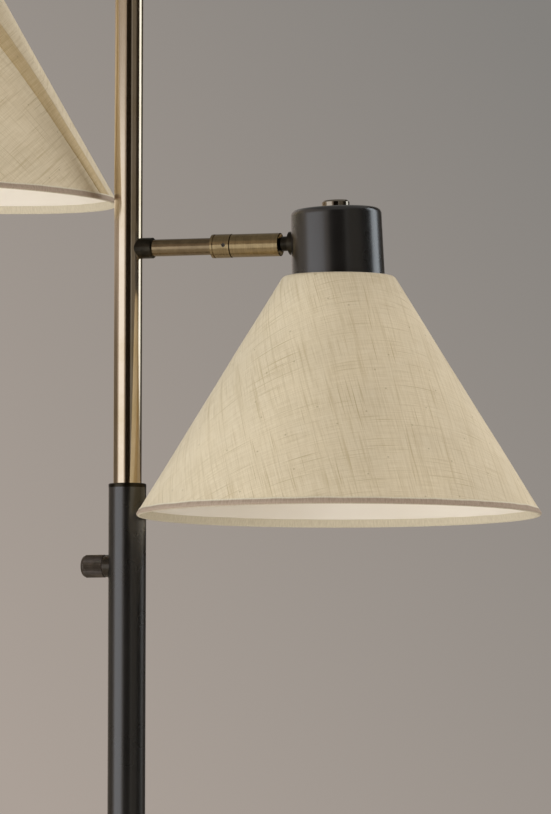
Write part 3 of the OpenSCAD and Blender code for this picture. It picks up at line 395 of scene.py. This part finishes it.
def arm_brass(name, scale, colours, low_gloss, high_gloss):
    """Aged brass whose tool or polishing lines run as the pattern is stretched."""
    material, tree = blank_material(name)
    place = add(tree, "TexCoord").outputs["Object"]
    lines = add(tree, "TexNoise", {
        "Vector": add(tree, "Mapping", {"Vector": place, "Scale": scale}).outputs[0],
        "Scale": 1, "Detail": 3})
    patina = add(tree, "TexNoise", {"Vector": place, "Scale": 170, "Detail": 6,
                                    "Roughness": 0.65})
    both = add(tree, "Mix", {0: 0.5, 2: lines.outputs["Fac"], 3: patina.outputs["Fac"]})
    tone = add(tree, "ValToRGB", {"Fac": both.outputs[0]},
               stops=[(0.38, colours[0]), (0.6, colours[1])])
    gloss = add(tree, "MapRange", {"Value": patina.outputs["Fac"], "From Min": 0.3,
                                   "From Max": 0.7, "To Min": low_gloss, "To Max": high_gloss})
    bump = add(tree, "Bump", {"Height": lines.outputs["Fac"], "Strength": 0.12,
                              "Distance": 0.03 * MM})
    close(tree, add(tree, "BsdfPrincipled", {
        "Base Color": tone.outputs["Color"], "Metallic": 1,
        "Roughness": gloss.outputs["Result"], "Normal": bump.outputs["Normal"]}))
    return material


# Lines 0.4 mm wide run 60 mm along the tube; on the turned pieces 0.35 mm rings go round.
arm_polished = arm_brass("polished_aged_brass_arm", (16, 2500, 2500),
                         ("#776750", "#988669"), 0.14, 0.22)
arm_turned = arm_brass("turned_aged_brass", (2900, 30, 30),
                       ("#8c7a5b", "#a8946f"), 0.15, 0.24)
dress(arm_polished, "right_arm_tube", "left_arm_tube")
dress(arm_turned, "swivel_rings", "right_ball_barrel", "left_ball_barrel")
dress(turned_steel, "arm_studs")

# ---- Cups ----
# Spun steel cups, powder coated like the pole. A nut of dark polished nickel on a
# threaded tube holds each to its socket, and a hexagon nut holds it to its neck.
dark_nickel, tree = blank_material("polished_dark_nickel")
place = add(tree, "TexCoord").outputs["Object"]
# Polished, with a haze of wear in 5 mm patches.
haze = add(tree, "TexNoise", {"Vector": place, "Scale": 200, "Detail": 4})
gloss = add(tree, "MapRange", {"Value": haze.outputs["Fac"], "To Min": 0.06, "To Max": 0.16})
close(tree, add(tree, "BsdfPrincipled", {
    "Base Color": linear("#a39a8c"), "Metallic": 1, "Roughness": gloss.outputs["Result"]}))
for side in SIDES:
    dress(powder_coat, f"{side}_socket_cup")
    dress(dark_nickel, f"{side}_top_nut")
    dress(turned_steel, f"{side}_neck_nut", f"{side}_nipple")

black_nickel, tree = blank_material("black_nickel_plate")
place = add(tree, "TexCoord").outputs["Object"]
# Black nickel plate on the switch's ring nut and the swivels' set screws, softly shiny,
# with the same haze.
haze = add(tree, "TexNoise", {"Vector": place, "Scale": 200, "Detail": 4})
gloss = add(tree, "MapRange", {"Value": haze.outputs["Fac"], "To Min": 0.18, "To Max": 0.3})
close(tree, add(tree, "BsdfPrincipled", {
    "Base Color": linear("#4b4640"), "Metallic": 1, "Roughness": gloss.outputs["Result"]}))
dress(black_nickel, "switch_nut", "swivel_screws")

# ---- Sockets and bulbs ----
# A phenolic socket with a coarse moulded thread for the shade's ring nut, and a nickel
# screw shell. The bulb is of glass, frosted white inside, on a threaded base.
neck_to_axis = 46.4
socket_r, sleeve_r, shell_hole_r, nipple_hole_r = 20, 17.5, 13.45, 5.05
socket_roof, socket_shoulder, sleeve_foot, shell_top = 14.95, -30, -46, -9
thread_pitch, thread_depth = 3, 0.5
shell_r, shell_in_r, shell_foot = 13.4, 13.02, -41


def cup_place(side):
    """Where a cup's axis crosses its neck, with Z up the cup's axis."""
    return ball_place(side) @ Matrix.Translation((neck_to_axis * MM, 0, 0))


def cut_thread(bm, low_z, high_z, low_r, high_r, pitch, depth):
    """Draws the walls between two radii and heights in along a helix, as a round thread."""
    for vert in bm.verts:
        radius = math.hypot(vert.co.x, vert.co.y) / MM
        if low_z < vert.co.z / MM < high_z and low_r < radius < high_r:
            turn = math.atan2(vert.co.y, vert.co.x) / (2 * math.pi)
            wave = 0.5 - 0.5 * math.cos(2 * math.pi * (vert.co.z / MM / pitch - turn))
            vert.co.xy *= (radius - depth * wave) / radius


def rows(radius, z0, z1, count):
    """Points evenly spaced up a wall, ends included."""
    return [(radius, z0 + (z1 - z0) * i / count) for i in range(count + 1)]


for side in SIDES:
    bm = spun([(nipple_hole_r, socket_roof - 8), (nipple_hole_r, socket_roof),
               (socket_r - 1, socket_roof), (socket_r - 0.3, socket_roof - 0.3),
               (socket_r, socket_roof - 1), (socket_r, socket_shoulder + 0.5),
               (socket_r - 0.5, socket_shoulder), (sleeve_r, socket_shoulder)]
              + rows(sleeve_r, socket_shoulder - 0.2, sleeve_foot + 0.3, 40)
              + [(sleeve_r - 0.4, sleeve_foot), (shell_hole_r, sleeve_foot),
                 (shell_hole_r, shell_top), (0, shell_top), (0, socket_roof - 8)], 96)
    cut_thread(bm, sleeve_foot + 0.5, socket_shoulder - 0.5, sleeve_r - 0.1, sleeve_r + 0.1,
               thread_pitch, thread_depth)
    piece(bm, f"{side}_socket_body", phenolic, f"{side}_head",
          [f"{side}_socket"], cup_place(side))
    bm = spun([(0, shell_top - 0.05), (shell_r, shell_top - 0.05)]
              + rows(shell_r, shell_top - 0.3, shell_foot + 0.3, 40)
              + [(shell_r, shell_foot), (shell_in_r, shell_foot),
                 (shell_in_r, shell_top - 0.45), (0, shell_top - 0.45)], 72)
    piece(bm, f"{side}_screw_shell", bright_nickel, f"{side}_head",
          [f"{side}_socket"], cup_place(side))

frosted_glass, tree = blank_material("frosted_bulb_glass")
place = add(tree, "TexCoord").outputs["Object"]
# The powder inside the glass is denser in places, over 12 mm.
powder = add(tree, "TexNoise", {"Vector": place, "Scale": 80, "Detail": 3})
tone = add(tree, "ValToRGB", {"Fac": powder.outputs["Fac"]},
           stops=[(0.3, "#ebe6da"), (0.7, "#f3efe5")])
close(tree, add(tree, "BsdfPrincipled", {
    "Base Color": tone.outputs["Color"], "Roughness": 0.22, "Coat Weight": 0.5,
    "Coat Roughness": 0.05, "Subsurface Weight": 0.2, "Subsurface Scale": 4 * MM}))

bulb_top, bulb_length, bulb_r, glass_neck_r = -9.7, 110, 30, 12.7
base_length, base_r, base_pitch, base_depth = 26, 12.9, 3.6, 0.8
ball_centre = bulb_top - bulb_length + bulb_r
glass_top = bulb_top - base_length


def bulb_outline():
    """The pear shape of the glass, from its neck down to its foot."""
    points = []
    for i in range(29):
        share = i / 28
        ease = share * share * (3 - 2 * share)
        points.append((glass_neck_r + (bulb_r - glass_neck_r) * ease,
                       glass_top + (ball_centre - glass_top) * share))
    for i in range(1, 19):
        angle = math.pi / 2 * i / 18
        points.append((bulb_r * math.cos(angle), ball_centre - bulb_r * math.sin(angle)))
    points[-1] = (0, points[-1][1])
    return points


for side in SIDES:
    bm = spun([(0, glass_top)] + bulb_outline(), 96)
    piece(bm, f"{side}_bulb_glass", frosted_glass, f"{side}_head",
          [f"{side}_bulb"], cup_place(side))
    bm = spun([(0, bulb_top), (4.5, bulb_top), (4.8, bulb_top - 1.2), (9, bulb_top - 2),
               (12.5, bulb_top - 4)] + rows(base_r, bulb_top - 5, glass_top + 1, 44)
              + [(12.5, glass_top + 0.06), (0, glass_top + 0.06)], 72)
    cut_thread(bm, glass_top + 3, bulb_top - 4.5, base_r - 0.1, base_r + 0.1,
               base_pitch, base_depth)
    piece(bm, f"{side}_bulb_base", bright_nickel, f"{side}_head",
          [f"{side}_bulb"], cup_place(side))

# ---- Shades ----
# Natural linen, laminated on a stiff backing and rolled into a cone with its two ends
# lapped on the side that faces the pole. The cloth turns in over the top ring.
linen_thickness = 0.8
top_roll_r, top_ring_r, top_ring_z = 4.5, 34.5, 1.4
hem_r, rim_end_r, rim_end_z = 1.2, 133.3, -152.7
fitter_drop = 30
run, drop = rim_end_r - top_ring_r, top_ring_z - rim_end_z
slope = math.atan2(run, drop) - math.asin((top_roll_r - hem_r) / math.hypot(run, drop))
out_r, out_z = math.cos(slope), math.sin(slope)
down_r, down_z = math.sin(slope), -math.cos(slope)
lap_angle = math.radians(186.4)
# The straight seam is cut aslant, so its line misses the cone's tip by so many millimetres.
lap_width, lap_miss = 20, 55


def shade_place(side):
    """Where a shade's fitter is, in the shade's own lean."""
    return (cup_place(side) @ Matrix.Translation((0, 0, -fitter_drop * MM))
            @ Matrix.Rotation(math.radians(SIDES[side]["lean"]), 4, "Y"))


def on_slope(distance, proud=0.0):
    """A point of the cloth's outer face, so far down the slope from the top roll."""
    return (top_ring_r + (top_roll_r + proud) * out_r + distance * down_r,
            top_ring_z + (top_roll_r + proud) * out_z + distance * down_z)


slope_length = (rim_end_r + hem_r * out_r - on_slope(0)[0]) / down_r
tip_to_roll = on_slope(0)[0] / down_r


def over_roll(proud, steps=12):
    """Points over the rolled top edge, from inside to where the slope starts."""
    radius = top_roll_r + proud
    angles = [math.radians(120) + (slope - math.radians(120)) * i / steps
              for i in range(steps)]
    return [(top_ring_r + radius * math.cos(a), top_ring_z + radius * math.sin(a))
            for a in angles]


def weave(name, colours, patch_strength):
    """Linen: uneven yarns both ways, with slubs, streaks and a few brown flecks of straw."""
    material, tree = blank_material(name)
    cut = add(tree, "UVMap", uv_map="cut").outputs["UV"]
    # Yarns are 0.5 mm in the real cloth and drawn at 0.9 mm, so that they show; each
    # thickens and thins over 20 mm. Slubs are 1 mm wide and 50 mm long.
    yarns = []
    for scale in ((1100, 50, 1), (50, 1100, 1)):
        yarns.append(add(tree, "TexNoise", {
            "Vector": add(tree, "Mapping", {"Vector": cut, "Scale": scale}).outputs[0],
            "Scale": 1, "Detail": 2, "Roughness": 0.6}, noise_dimensions="2D"))
    slubs = []
    for scale, seed in (((1000, 20, 1), 7), ((20, 1000, 1), 3)):
        moved = add(tree, "Mapping", {"Vector": cut, "Location": (seed, seed, 0),
                                      "Scale": scale})
        found = add(tree, "TexNoise", {"Vector": moved.outputs[0], "Scale": 1, "Detail": 1},
                    noise_dimensions="2D")
        slubs.append(add(tree, "MapRange", {"Value": found.outputs["Fac"], "From Min": 0.66,
                                            "From Max": 0.82}))
    cloth = add(tree, "Math", {0: yarns[0].outputs["Fac"], 1: yarns[1].outputs["Fac"]},
                operation="ADD")
    spread = add(tree, "MapRange", {"Value": cloth.outputs[0], "From Min": 0.5,
                                    "From Max": 1.5})
    tone = add(tree, "ValToRGB", {"Fac": spread.outputs[0]},
               stops=[(0, colours[0]), (0.5, colours[1]), (1, colours[2])])
    thick = add(tree, "Math", {0: slubs[0].outputs[0], 1: slubs[1].outputs[0]},
                operation="MAXIMUM")
    # Streaks 2.5 mm wide and 90 mm long lie along one set of yarns, where thread is darker.
    streaks = add(tree, "TexNoise", {
        "Vector": add(tree, "Mapping", {"Vector": cut, "Scale": (11, 400, 1)}).outputs[0],
        "Scale": 1, "Detail": 3, "Roughness": 0.7}, noise_dimensions="2D")
    streaked = add(tree, "MapRange", {"Value": streaks.outputs["Fac"], "From Min": 0.54,
                                      "From Max": 0.8, "To Max": 0.55})
    share = add(tree, "Math", {0: thick.outputs[0], 1: 0.6}, operation="MULTIPLY")
    share = add(tree, "Math", {0: share.outputs[0], 1: streaked.outputs[0]},
                operation="MAXIMUM")
    with_slubs = add(tree, "Mix", {0: share.outputs[0], 6: tone.outputs["Color"],
                                   7: linear(colours[3])}, data_type="RGBA")
    # Flecks are 1.2 mm across and some 30 mm apart.
    cells = add(tree, "TexVoronoi", {"Vector": cut, "Scale": 33}, voronoi_dimensions="2D")
    fleck = add(tree, "MapRange", {"Value": cells.outputs["Distance"], "From Min": 0.03,
                                   "From Max": 0.012, "To Max": 0.45})
    flecked = add(tree, "Mix", {0: fleck.outputs[0], 6: with_slubs.outputs[2],
                                7: linear("#8b7a58")}, data_type="RGBA")
    # The dye and the backing's glue vary softly over 70 mm.
    patches = add(tree, "TexNoise", {"Vector": cut, "Scale": 14, "Detail": 3},
                  noise_dimensions="2D")
    light = add(tree, "MapRange", {"Value": patches.outputs["Fac"], "From Min": 0.3,
                                   "From Max": 0.7, "To Min": 1 - patch_strength,
                                   "To Max": 1 + patch_strength})
    # Painted shade darkens the cloth's first 35 mm below the top ring.
    reach = add(tree, "VectorMath", {0: cut}, operation="LENGTH")
    top_shade = add(tree, "MapRange", {"Value": reach.outputs["Value"],
                                  "From Min": tip_to_roll * MM,
                                  "From Max": (tip_to_roll + 35) * MM, "To Min": 0.9})
    both = add(tree, "Math", {0: light.outputs[0], 1: top_shade.outputs[0]}, operation="MULTIPLY")
    shaded = add(tree, "Mix", {0: 1.0, 6: flecked.outputs[2], 7: both.outputs[0]},
                 data_type="RGBA", blend_type="MULTIPLY")
    relief = add(tree, "Math", {0: cloth.outputs[0], 1: thick.outputs[0]}, operation="ADD")
    bump = add(tree, "Bump", {"Height": relief.outputs[0], "Strength": 0.3,
                              "Distance": 0.25 * MM})
    close(tree, add(tree, "BsdfPrincipled", {
        "Base Color": shaded.outputs[2], "Roughness": 0.9, "Specular IOR Level": 0.25,
        "Sheen Weight": 0.15, "Sheen Roughness": 0.4, "Normal": bump.outputs["Normal"]}))
    return material


linen = weave("natural_linen", ("#cabb9e", "#d7c9ae", "#dfd3bb", "#ac9972"), 0.05)
# The lap's darker colours are painted shade, where less light comes through the double cloth.
lap_painted_shade_linen = weave("natural_linen_lap_painted_shade", ("#b59e76", "#c3ae87", "#cdbb97", "#a38d64"),
                     0.05)


def flatten_cone(bm, grain):
    """Lays the cloth's cut into its UV map, turned so many degrees from its straight yarns."""
    cut = bm.loops.layers.uv.new("cut")
    for face in bm.faces:
        middle = face.calc_center_median()
        half_turn = (math.atan2(middle.y, middle.x) - lap_angle) % (2 * math.pi)
        for loop in face.loops:
            x, y, z = loop.vert.co / MM
            around = (math.atan2(y, x) - lap_angle) % (2 * math.pi)
            if abs(around - half_turn) > math.pi:
                around += math.copysign(2 * math.pi, half_turn - around)
            start_r, start_z = on_slope(0)
            along = (math.hypot(x, y) - start_r) * down_r + (z - start_z) * down_z
            reach = (tip_to_roll + along) * MM
            angle = around * math.sin(slope) - math.radians(grain)
            loop[cut].uv = (reach * math.cos(angle), reach * math.sin(angle))


def uneven(bm, amount, size, seed):
    """Moves a skin in and out a little, as glued cloth lies, over patches of one size."""
    for vert in bm.verts:
        push = noise.noise(vert.co / (size * MM) + Vector((seed, 0, 0))) * amount * MM
        vert.co += Vector((vert.co.x, vert.co.y, 0)).normalized() * push


def thicken(made, thickness):
    """Gives a skin its wall, inwards from its face."""
    wall = made.modifiers.new("wall", "SOLIDIFY")
    wall.thickness = thickness * MM
    wall.offset = -1


def face_outwards(bm):
    """Turns a skin's faces so that they point away from the shade's axis."""
    middle = max(bm.faces, key=lambda face: face.calc_area())
    across = Vector((middle.calc_center_median().x, middle.calc_center_median().y, 0))
    if middle.normal.dot(across) < 0:
        bmesh.ops.reverse_faces(bm, faces=bm.faces)


cloth_rows = 56
cloth_foot = slope_length - 0.6
for number, side in enumerate(SIDES):
    outline = over_roll(0) + [on_slope(cloth_foot * i / cloth_rows)
                              for i in range(cloth_rows + 1)]
    bm = spun(outline, 240)
    face_outwards(bm)
    flatten_cone(bm, SIDES[side]["grain"])
    uneven(bm, 0.35, 45, 10 * number)
    cloth = piece(bm, f"{side}_shade_cloth", linen, f"{side}_head",
                  [f"{side}_shade_linen"], shade_place(side), crease=60)
    thicken(cloth, linen_thickness)

# ---- Lapped seams ----
# Where the two ends of the linen lap, a strip 20 mm wide lies double, with its folded
# edge a thread's thickness proud. Painted shade darkens it, where less light comes
# through the double cloth. It ends tucked under the hem's tape.
lap_proud, lap_wall, lap_sunk = 0.45, 0.5, -0.15
lap_foot, lap_tuck = slope_length - 3.3, slope_length - 2.4


def lap_turn(radius):
    """How far round the shade the middle of the seam is, at a radius in millimetres."""
    rim_share = lap_miss / (tip_to_roll + slope_length)
    share = min(lap_miss * down_r / radius, 1)
    return lap_angle - (math.asin(share) - math.asin(rim_share)) / down_r


for number, side in enumerate(SIDES):
    profile = over_roll(lap_proud) + [on_slope(lap_foot * i / cloth_rows, lap_proud)
                                      for i in range(cloth_rows + 1)]
    profile.append(on_slope(lap_tuck, lap_sunk))
    bm = bmesh.new()
    columns = 8
    bmesh.ops.create_grid(bm, x_segments=columns, y_segments=len(profile) - 1, size=0.5)
    for vert in bm.verts:
        r, z = profile[round((0.5 - vert.co.y) * (len(profile) - 1))]
        edge = abs(vert.co.x) > 0.49
        r -= lap_proud * 0.9 if edge else 0
        angle = lap_turn(r) + vert.co.x * lap_width / r
        vert.co = Vector((r * math.cos(angle), r * math.sin(angle), z)) * MM
    bmesh.ops.recalc_face_normals(bm, faces=bm.faces)
    face_outwards(bm)
    flatten_cone(bm, SIDES[side]["grain"])
    uneven(bm, 0.35, 45, 10 * number)
    strip = piece(bm, f"{side}_shade_lap", lap_painted_shade_linen, f"{side}_head", (),
                  shade_place(side), crease=60)
    thicken(strip, lap_wall)

# ---- Hems ----
# A bias tape of the same linen, folded over the wire ring in the lower edge and glued
# inside and out. Painted shade greys its outer fold, and its edges wander slightly.
hem_height, hem_inside, hem_proud = 3, 4.6, 0.25
fold_r = hem_r + hem_proud


def hem_section():
    """The folded tape's outline: down the outer face, round the edge and up inside."""
    outer = [on_slope(slope_length - hem_height * i / 3, hem_proud) for i in (3, 2, 1, 0)]
    start = on_slope(slope_length - hem_height, -0.2)
    turn = [slope - math.pi * i / 10 for i in range(1, 10)]
    fold = [(rim_end_r + fold_r * math.cos(a), rim_end_z + fold_r * math.sin(a)) for a in turn]
    inner = [on_slope(slope_length - hem_inside * i / 4, 0.24 * i - 2 * hem_r - 0.1)
             for i in range(5)]
    end = on_slope(slope_length - hem_inside, -1.2)
    return [start] + outer + fold + inner + [end]


def across_tape(radius, height):
    """How far across the tape a point is, from the upper edge of its outer face."""
    along = (radius - rim_end_r) * down_r + (height - rim_end_z) * down_z
    proud = (radius - rim_end_r) * out_r + (height - rim_end_z) * out_z
    if along > 0:
        return hem_height + fold_r * math.atan2(along, proud)
    return hem_height + along if proud > 0 else hem_height + math.pi * fold_r - along


def wrap_tape(bm):
    """Lays the tape's length and width, in metres, into its UV map."""
    cut = bm.loops.layers.uv.new("cut")
    for face in bm.faces:
        middle = face.calc_center_median()
        facing = math.atan2(middle.y, middle.x)
        for loop in face.loops:
            x, y, z = loop.vert.co / MM
            around = math.atan2(y, x)
            if abs(around - facing) > math.pi:
                around += math.copysign(2 * math.pi, facing - around)
            across = across_tape(math.hypot(x, y), z)
            loop[cut].uv = (around * rim_end_r * MM, across * MM)


hem_linen, tree = blank_material("bias_tape_linen")
cut = add(tree, "UVMap", uv_map="cut").outputs["UV"]
# The tape's yarns are 0.9 mm apart and lie across it.
yarns = add(tree, "TexNoise", {
    "Vector": add(tree, "Mapping", {"Vector": cut, "Scale": (1100, 250, 1)}).outputs[0],
    "Scale": 1, "Detail": 3}, noise_dimensions="2D")
clean = add(tree, "ValToRGB", {"Fac": yarns.outputs["Fac"]},
            stops=[(0.3, "#cfc6b0"), (0.7, "#dcd4bf")])
# These darker tones are painted shade for the underside of the tape's fold.
shaded_tape = add(tree, "ValToRGB", {"Fac": yarns.outputs["Fac"]},
              stops=[(0.3, "#978777"), (0.7, "#ab9a8a")])
across = add(tree, "SeparateXYZ", {"Vector": cut}).outputs["Y"]
# Painted shade greys the tape from 1 mm under its outer edge to halfway round its fold.
begins = add(tree, "MapRange", {"Value": across, "From Min": 0.6 * MM, "From Max": 1.4 * MM})
ends = add(tree, "MapRange", {"Value": across, "From Min": (hem_height + 1.6) * MM,
                              "From Max": (hem_height + 2.8) * MM, "To Min": 1, "To Max": 0})
shade_band = add(tree, "Math", {0: begins.outputs[0], 1: ends.outputs[0]}, operation="MULTIPLY")
tone = add(tree, "Mix", {0: shade_band.outputs[0], 6: clean.outputs["Color"],
                         7: shaded_tape.outputs["Color"]}, data_type="RGBA")
bump = add(tree, "Bump", {"Height": yarns.outputs["Fac"], "Strength": 0.15,
                          "Distance": 0.2 * MM})
close(tree, add(tree, "BsdfPrincipled", {
    "Base Color": tone.outputs[2], "Roughness": 0.9, "Specular IOR Level": 0.25,
    "Normal": bump.outputs["Normal"]}))

for number, side in enumerate(SIDES):
    bm = spun(hem_section(), 300, closed=True)
    wrap_tape(bm)
    for vert in bm.verts:
        spot = Vector((vert.co.x, vert.co.y, 0)) / (14 * MM) + Vector((5 * number, 0, 0))
        if vert.co.z / MM > rim_end_z + 1.5:
            vert.co.z += noise.noise(spot) * 0.35 * MM
    piece(bm, f"{side}_shade_hem", hem_linen, f"{side}_head", (), shade_place(side))

# ---- Linings ----
# White styrene film behind the linen, matt, with a faint haze of orange peel. It throws
# the light back down.
film, tree = blank_material("white_styrene_film")
place = add(tree, "TexCoord").outputs["Object"]
# The film's peel is 3 mm from crest to crest, and it yellows faintly over 60 mm.
peel = add(tree, "TexNoise", {"Vector": place, "Scale": 330, "Detail": 2})
age = add(tree, "TexNoise", {"Vector": place, "Scale": 16, "Detail": 3})
tone = add(tree, "ValToRGB", {"Fac": age.outputs["Fac"]},
           stops=[(0.3, "#f0e9dc"), (0.7, "#f6f0e5")])
bump = add(tree, "Bump", {"Height": peel.outputs["Fac"], "Strength": 0.1,
                          "Distance": 0.1 * MM})
close(tree, add(tree, "BsdfPrincipled", {
    "Base Color": tone.outputs["Color"], "Roughness": 0.55, "Normal": bump.outputs["Normal"]}))
film_top, film_foot = 7, slope_length - 4.2
film_outer, film_inner = -0.87, -1.35
for side in SIDES:
    outer = [on_slope(film_top + (film_foot - film_top) * i / 12, film_outer)
             for i in range(13)]
    inner = [on_slope(film_foot - (film_foot - film_top) * i / 12, film_inner)
             for i in range(13)]
    bm = spun(outer + inner, 240, closed=True)
    piece(bm, f"{side}_shade_film", film, f"{side}_head",
          [f"{side}_shade_lining"], shade_place(side))

# ---- Wires ----
# Round black PVC leads: the mains cable from the outlet to the switch, one lead out
# through each arm, and one from each neck to its socket.
cable_pvc, tree = blank_material("black_pvc_sheath")
place = add(tree, "TexCoord").outputs["Object"]
# The extruded sheath has a slight waxiness that varies over 10 mm.
wax = add(tree, "TexNoise", {"Vector": place, "Scale": 100, "Detail": 3})
tone = add(tree, "ValToRGB", {"Fac": wax.outputs["Fac"]},
           stops=[(0.3, "#111111"), (0.7, "#1c1c1c")])
close(tree, add(tree, "BsdfPrincipled", {"Base Color": tone.outputs["Color"],
                                         "Roughness": 0.45}))


def arc(x, z, radius, start, end, steps=8):
    """Points of an arc in the XZ plane, in millimetres, ends included."""
    angles = [math.radians(start + (end - start) * i / steps) for i in range(steps + 1)]
    return [(x + radius * math.cos(a), 0, z + radius * math.sin(a)) for a in angles]


def lead(name, route, diameter, body, node, place=None):
    """A round lead along a route in millimetres, made a mesh with its place in it."""
    curve = bpy.data.curves.new(name, "CURVE")
    curve.dimensions = "3D"
    curve.bevel_depth = diameter / 2 * MM
    curve.bevel_resolution = 3
    curve.use_fill_caps = True
    spline = curve.splines.new("POLY")
    spline.points.add(len(route) - 1)
    for point, spot in zip(spline.points, route):
        point.co = (*(Vector(spot) * MM), 1)
    shape = bpy.data.objects.new(name, curve)
    bpy.context.scene.collection.objects.link(shape)
    bm = bmesh.new()
    bm.from_mesh(shape.to_mesh())
    bpy.data.objects.remove(shape)
    piece(bm, name, cable_pvc, body, [node], place, crease=60)


outlet_z, switch_foot, switch_head = 70, 1236, 1262
mains_d, arm_lead_d, head_lead_d = 5, 3.4, 3
bend = [(0, 7 - 7 * math.sin(a), outlet_z + 7 - 7 * math.cos(a))
        for a in [math.pi / 2 * i / 8 for i in range(9)]]
lead("mains_lead", bend + [(0, 0, outlet_z + 14), (0, 0, switch_foot)], mains_d,
     "pole", "mains_cable")
rise_x, bend_r, lead_end = -4.2, 5.5, 91.5
for side in SIDES:
    start = switch_head - SIDES[side]["height"]
    climb = [(rise_x, 0, start)]
    if side == "left":
        climb = [(0, -4.6, start), (0, -4.6, -90), (rise_x, 0, -30)]
    route = climb + arc(rise_x + bend_r, -bend_r, bend_r, 180, 90) + [(lead_end, 0, 0)]
    lead(f"{side}_arm_lead", route, arm_lead_d, "pole", "lamp_wires", arm_place(side))
    route = ([(-5.3, 0, 0)] + arc(20.79, 3, 3, 270, 360) + arc(25.79, 15.35, 2, 180, 90)
             + [(33.4, 0, 17.35)])
    lead(f"{side}_head_lead", route, head_lead_d, f"{side}_head", f"{side}_head_wire",
         ball_place(side))

# ---- Studio ----
# A pale floor, a large soft light on the left and a narrow one behind on the right, which
# metal mirrors, with one from above and two fills that it doesn't. Dark and grey cloths
# that only reflections see give metal its stripes.
floor_paint, tree = blank_material("pale_floor")
close(tree, add(tree, "BsdfPrincipled", {"Base Color": linear("#cbc5bd"), "Roughness": 0.9}))
bm = bmesh.new()
bmesh.ops.create_grid(bm, x_segments=1, y_segments=1, size=40)
mesh = bpy.data.meshes.new("floor")
bm.to_mesh(mesh)
bm.free()
mesh.materials.append(floor_paint)
floor = bpy.data.objects.new("floor", mesh)
bpy.context.scene.collection.objects.link(floor)


def beside(turn, distance, height):
    """A place so many degrees round from the camera, to its right, and its bearing."""
    bearing = camera_azimuth - math.pi / 2 + math.radians(turn)
    spot = Vector((distance * math.cos(bearing), distance * math.sin(bearing), height))
    upright = Matrix.Rotation(math.pi / 2, 4, "X")
    return (Matrix.Translation(spot) @ Matrix.Rotation(bearing + math.pi / 2, 4, "Z")
            @ upright)


def soft_light(name, place, width, height, radiance, colour, mirrored):
    """A soft light whose face has a set brightness, whatever its size."""
    data = bpy.data.lights.new(name, "AREA")
    data.shape = "RECTANGLE"
    data.size = width
    data.size_y = height
    data.energy = radiance * math.pi * width * height
    data.color = colour
    lamp = bpy.data.objects.new(name, data)
    lamp.matrix_world = place
    lamp.visible_camera = False
    lamp.visible_glossy = mirrored
    bpy.context.scene.collection.objects.link(lamp)


def dark_cloth(name, turn, distance, width, height, middle, colour):
    """An upright cloth that faces the pole and shows in reflections alone."""
    cloth_paint, tree = blank_material(name)
    close(tree, add(tree, "BsdfPrincipled", {"Base Color": linear(colour), "Roughness": 1,
                                             "Specular IOR Level": 0}))
    bm = bmesh.new()
    bmesh.ops.create_grid(bm, x_segments=1, y_segments=1, size=0.5)
    bmesh.ops.scale(bm, vec=(width, height, 1), verts=bm.verts)
    bmesh.ops.transform(bm, matrix=beside(turn, distance, middle), verts=bm.verts)
    mesh = bpy.data.meshes.new(name)
    bm.to_mesh(mesh)
    bm.free()
    mesh.materials.append(cloth_paint)
    cloth = bpy.data.objects.new(name, mesh)
    bpy.context.scene.collection.objects.link(cloth)
    cloth.visible_camera = False
    cloth.visible_diffuse = False
    cloth.visible_shadow = False


cool = (0.75, 0.87, 1)
tipped_back = Matrix.Rotation(math.radians(50), 4, "X")
# Name, place, width and height in metres, brightness, colour, and whether metal mirrors it.
LIGHTS = (
    ("large_soft_light", beside(-55, 2.4, 0.93), 2.25, 1.72, 0.8, (0.92, 0.98, 1.08), True),
    ("high_soft_light", beside(-66, 2.6, 2.7), 3, 1.6, 2.8, cool, False),
    ("narrow_soft_light", beside(109, 2.4, 2.42), 1.1, 1.8, 1.5, (0.85, 0.93, 1), True),
    ("fill_on_the_right", beside(82, 3, 1.9), 2, 2.2, 4.1, (0.82, 0.86, 0.93), False),
    ("fill_from_below", beside(-38, 1.9, 0.35) @ tipped_back, 2.4, 0.8, 4.4,
     (1, 0.98, 0.96), False),
)
for light in LIGHTS:
    soft_light(*light)
# Name, degrees round, distance, width, height and height of the middle in metres, colour.
CLOTHS = (
    ("cloth_behind_camera", 1, 8, 6, 9, 1.4, "#2c2620"),
    ("grey_cloth_on_the_right", 47, 3.2, 1.9, 6, 1.4, "#7b7771"),
    ("dark_cloth_on_the_right", 81, 3.2, 1.9, 6, 1.4, "#3a3631"),
    ("dark_cloth_at_the_back", 139, 3.2, 2.6, 6, 1.4, "#4a453f"),
    ("grey_cloth_at_the_back", -122, 3.2, 3.4, 2.6, 0.4, "#7d756a"),
)
for cloth in CLOTHS:
    dark_cloth(*cloth)

world = bpy.data.worlds.new("studio")
world.use_nodes = True
tree = world.node_tree
tree.nodes.clear()
direction = add(tree, "TexCoord").outputs["Generated"]
# The wall behind is warm grey, and falls off towards the upper right of the picture.
falloff = (camera_right * 0.78 + camera_up * 0.63).normalized()
level = add(tree, "VectorMath", {0: direction, 1: falloff}, operation="DOT_PRODUCT")
spread = add(tree, "MapRange", {"Value": level.outputs["Value"], "From Min": -0.045,
                                "From Max": 0.045})
wall = add(tree, "Mix", {0: spread.outputs[0], 6: linear("#aba097"), 7: linear("#84817d")},
           data_type="RGBA")
ray = add(tree, "LightPath")
seen = add(tree, "Math", {0: ray.outputs["Is Camera Ray"], 1: ray.outputs["Is Glossy Ray"]},
           operation="MAXIMUM")
seen = add(tree, "Math", {0: seen.outputs[0], 1: ray.outputs["Is Transmission Ray"]},
           operation="MAXIMUM")
ambient = add(tree, "Background", {"Color": linear("#fff0d8"), "Strength": 0.46})
shown = add(tree, "Background", {"Color": wall.outputs[2], "Strength": 1})
both = add(tree, "MixShader", {0: seen.outputs[0], 1: ambient.outputs[0],
                               2: shown.outputs[0]})
add(tree, "OutputWorld", {"Surface": both.outputs[0]})
bpy.context.scene.world = world
bpy.context.scene.view_settings.view_transform = "Standard"
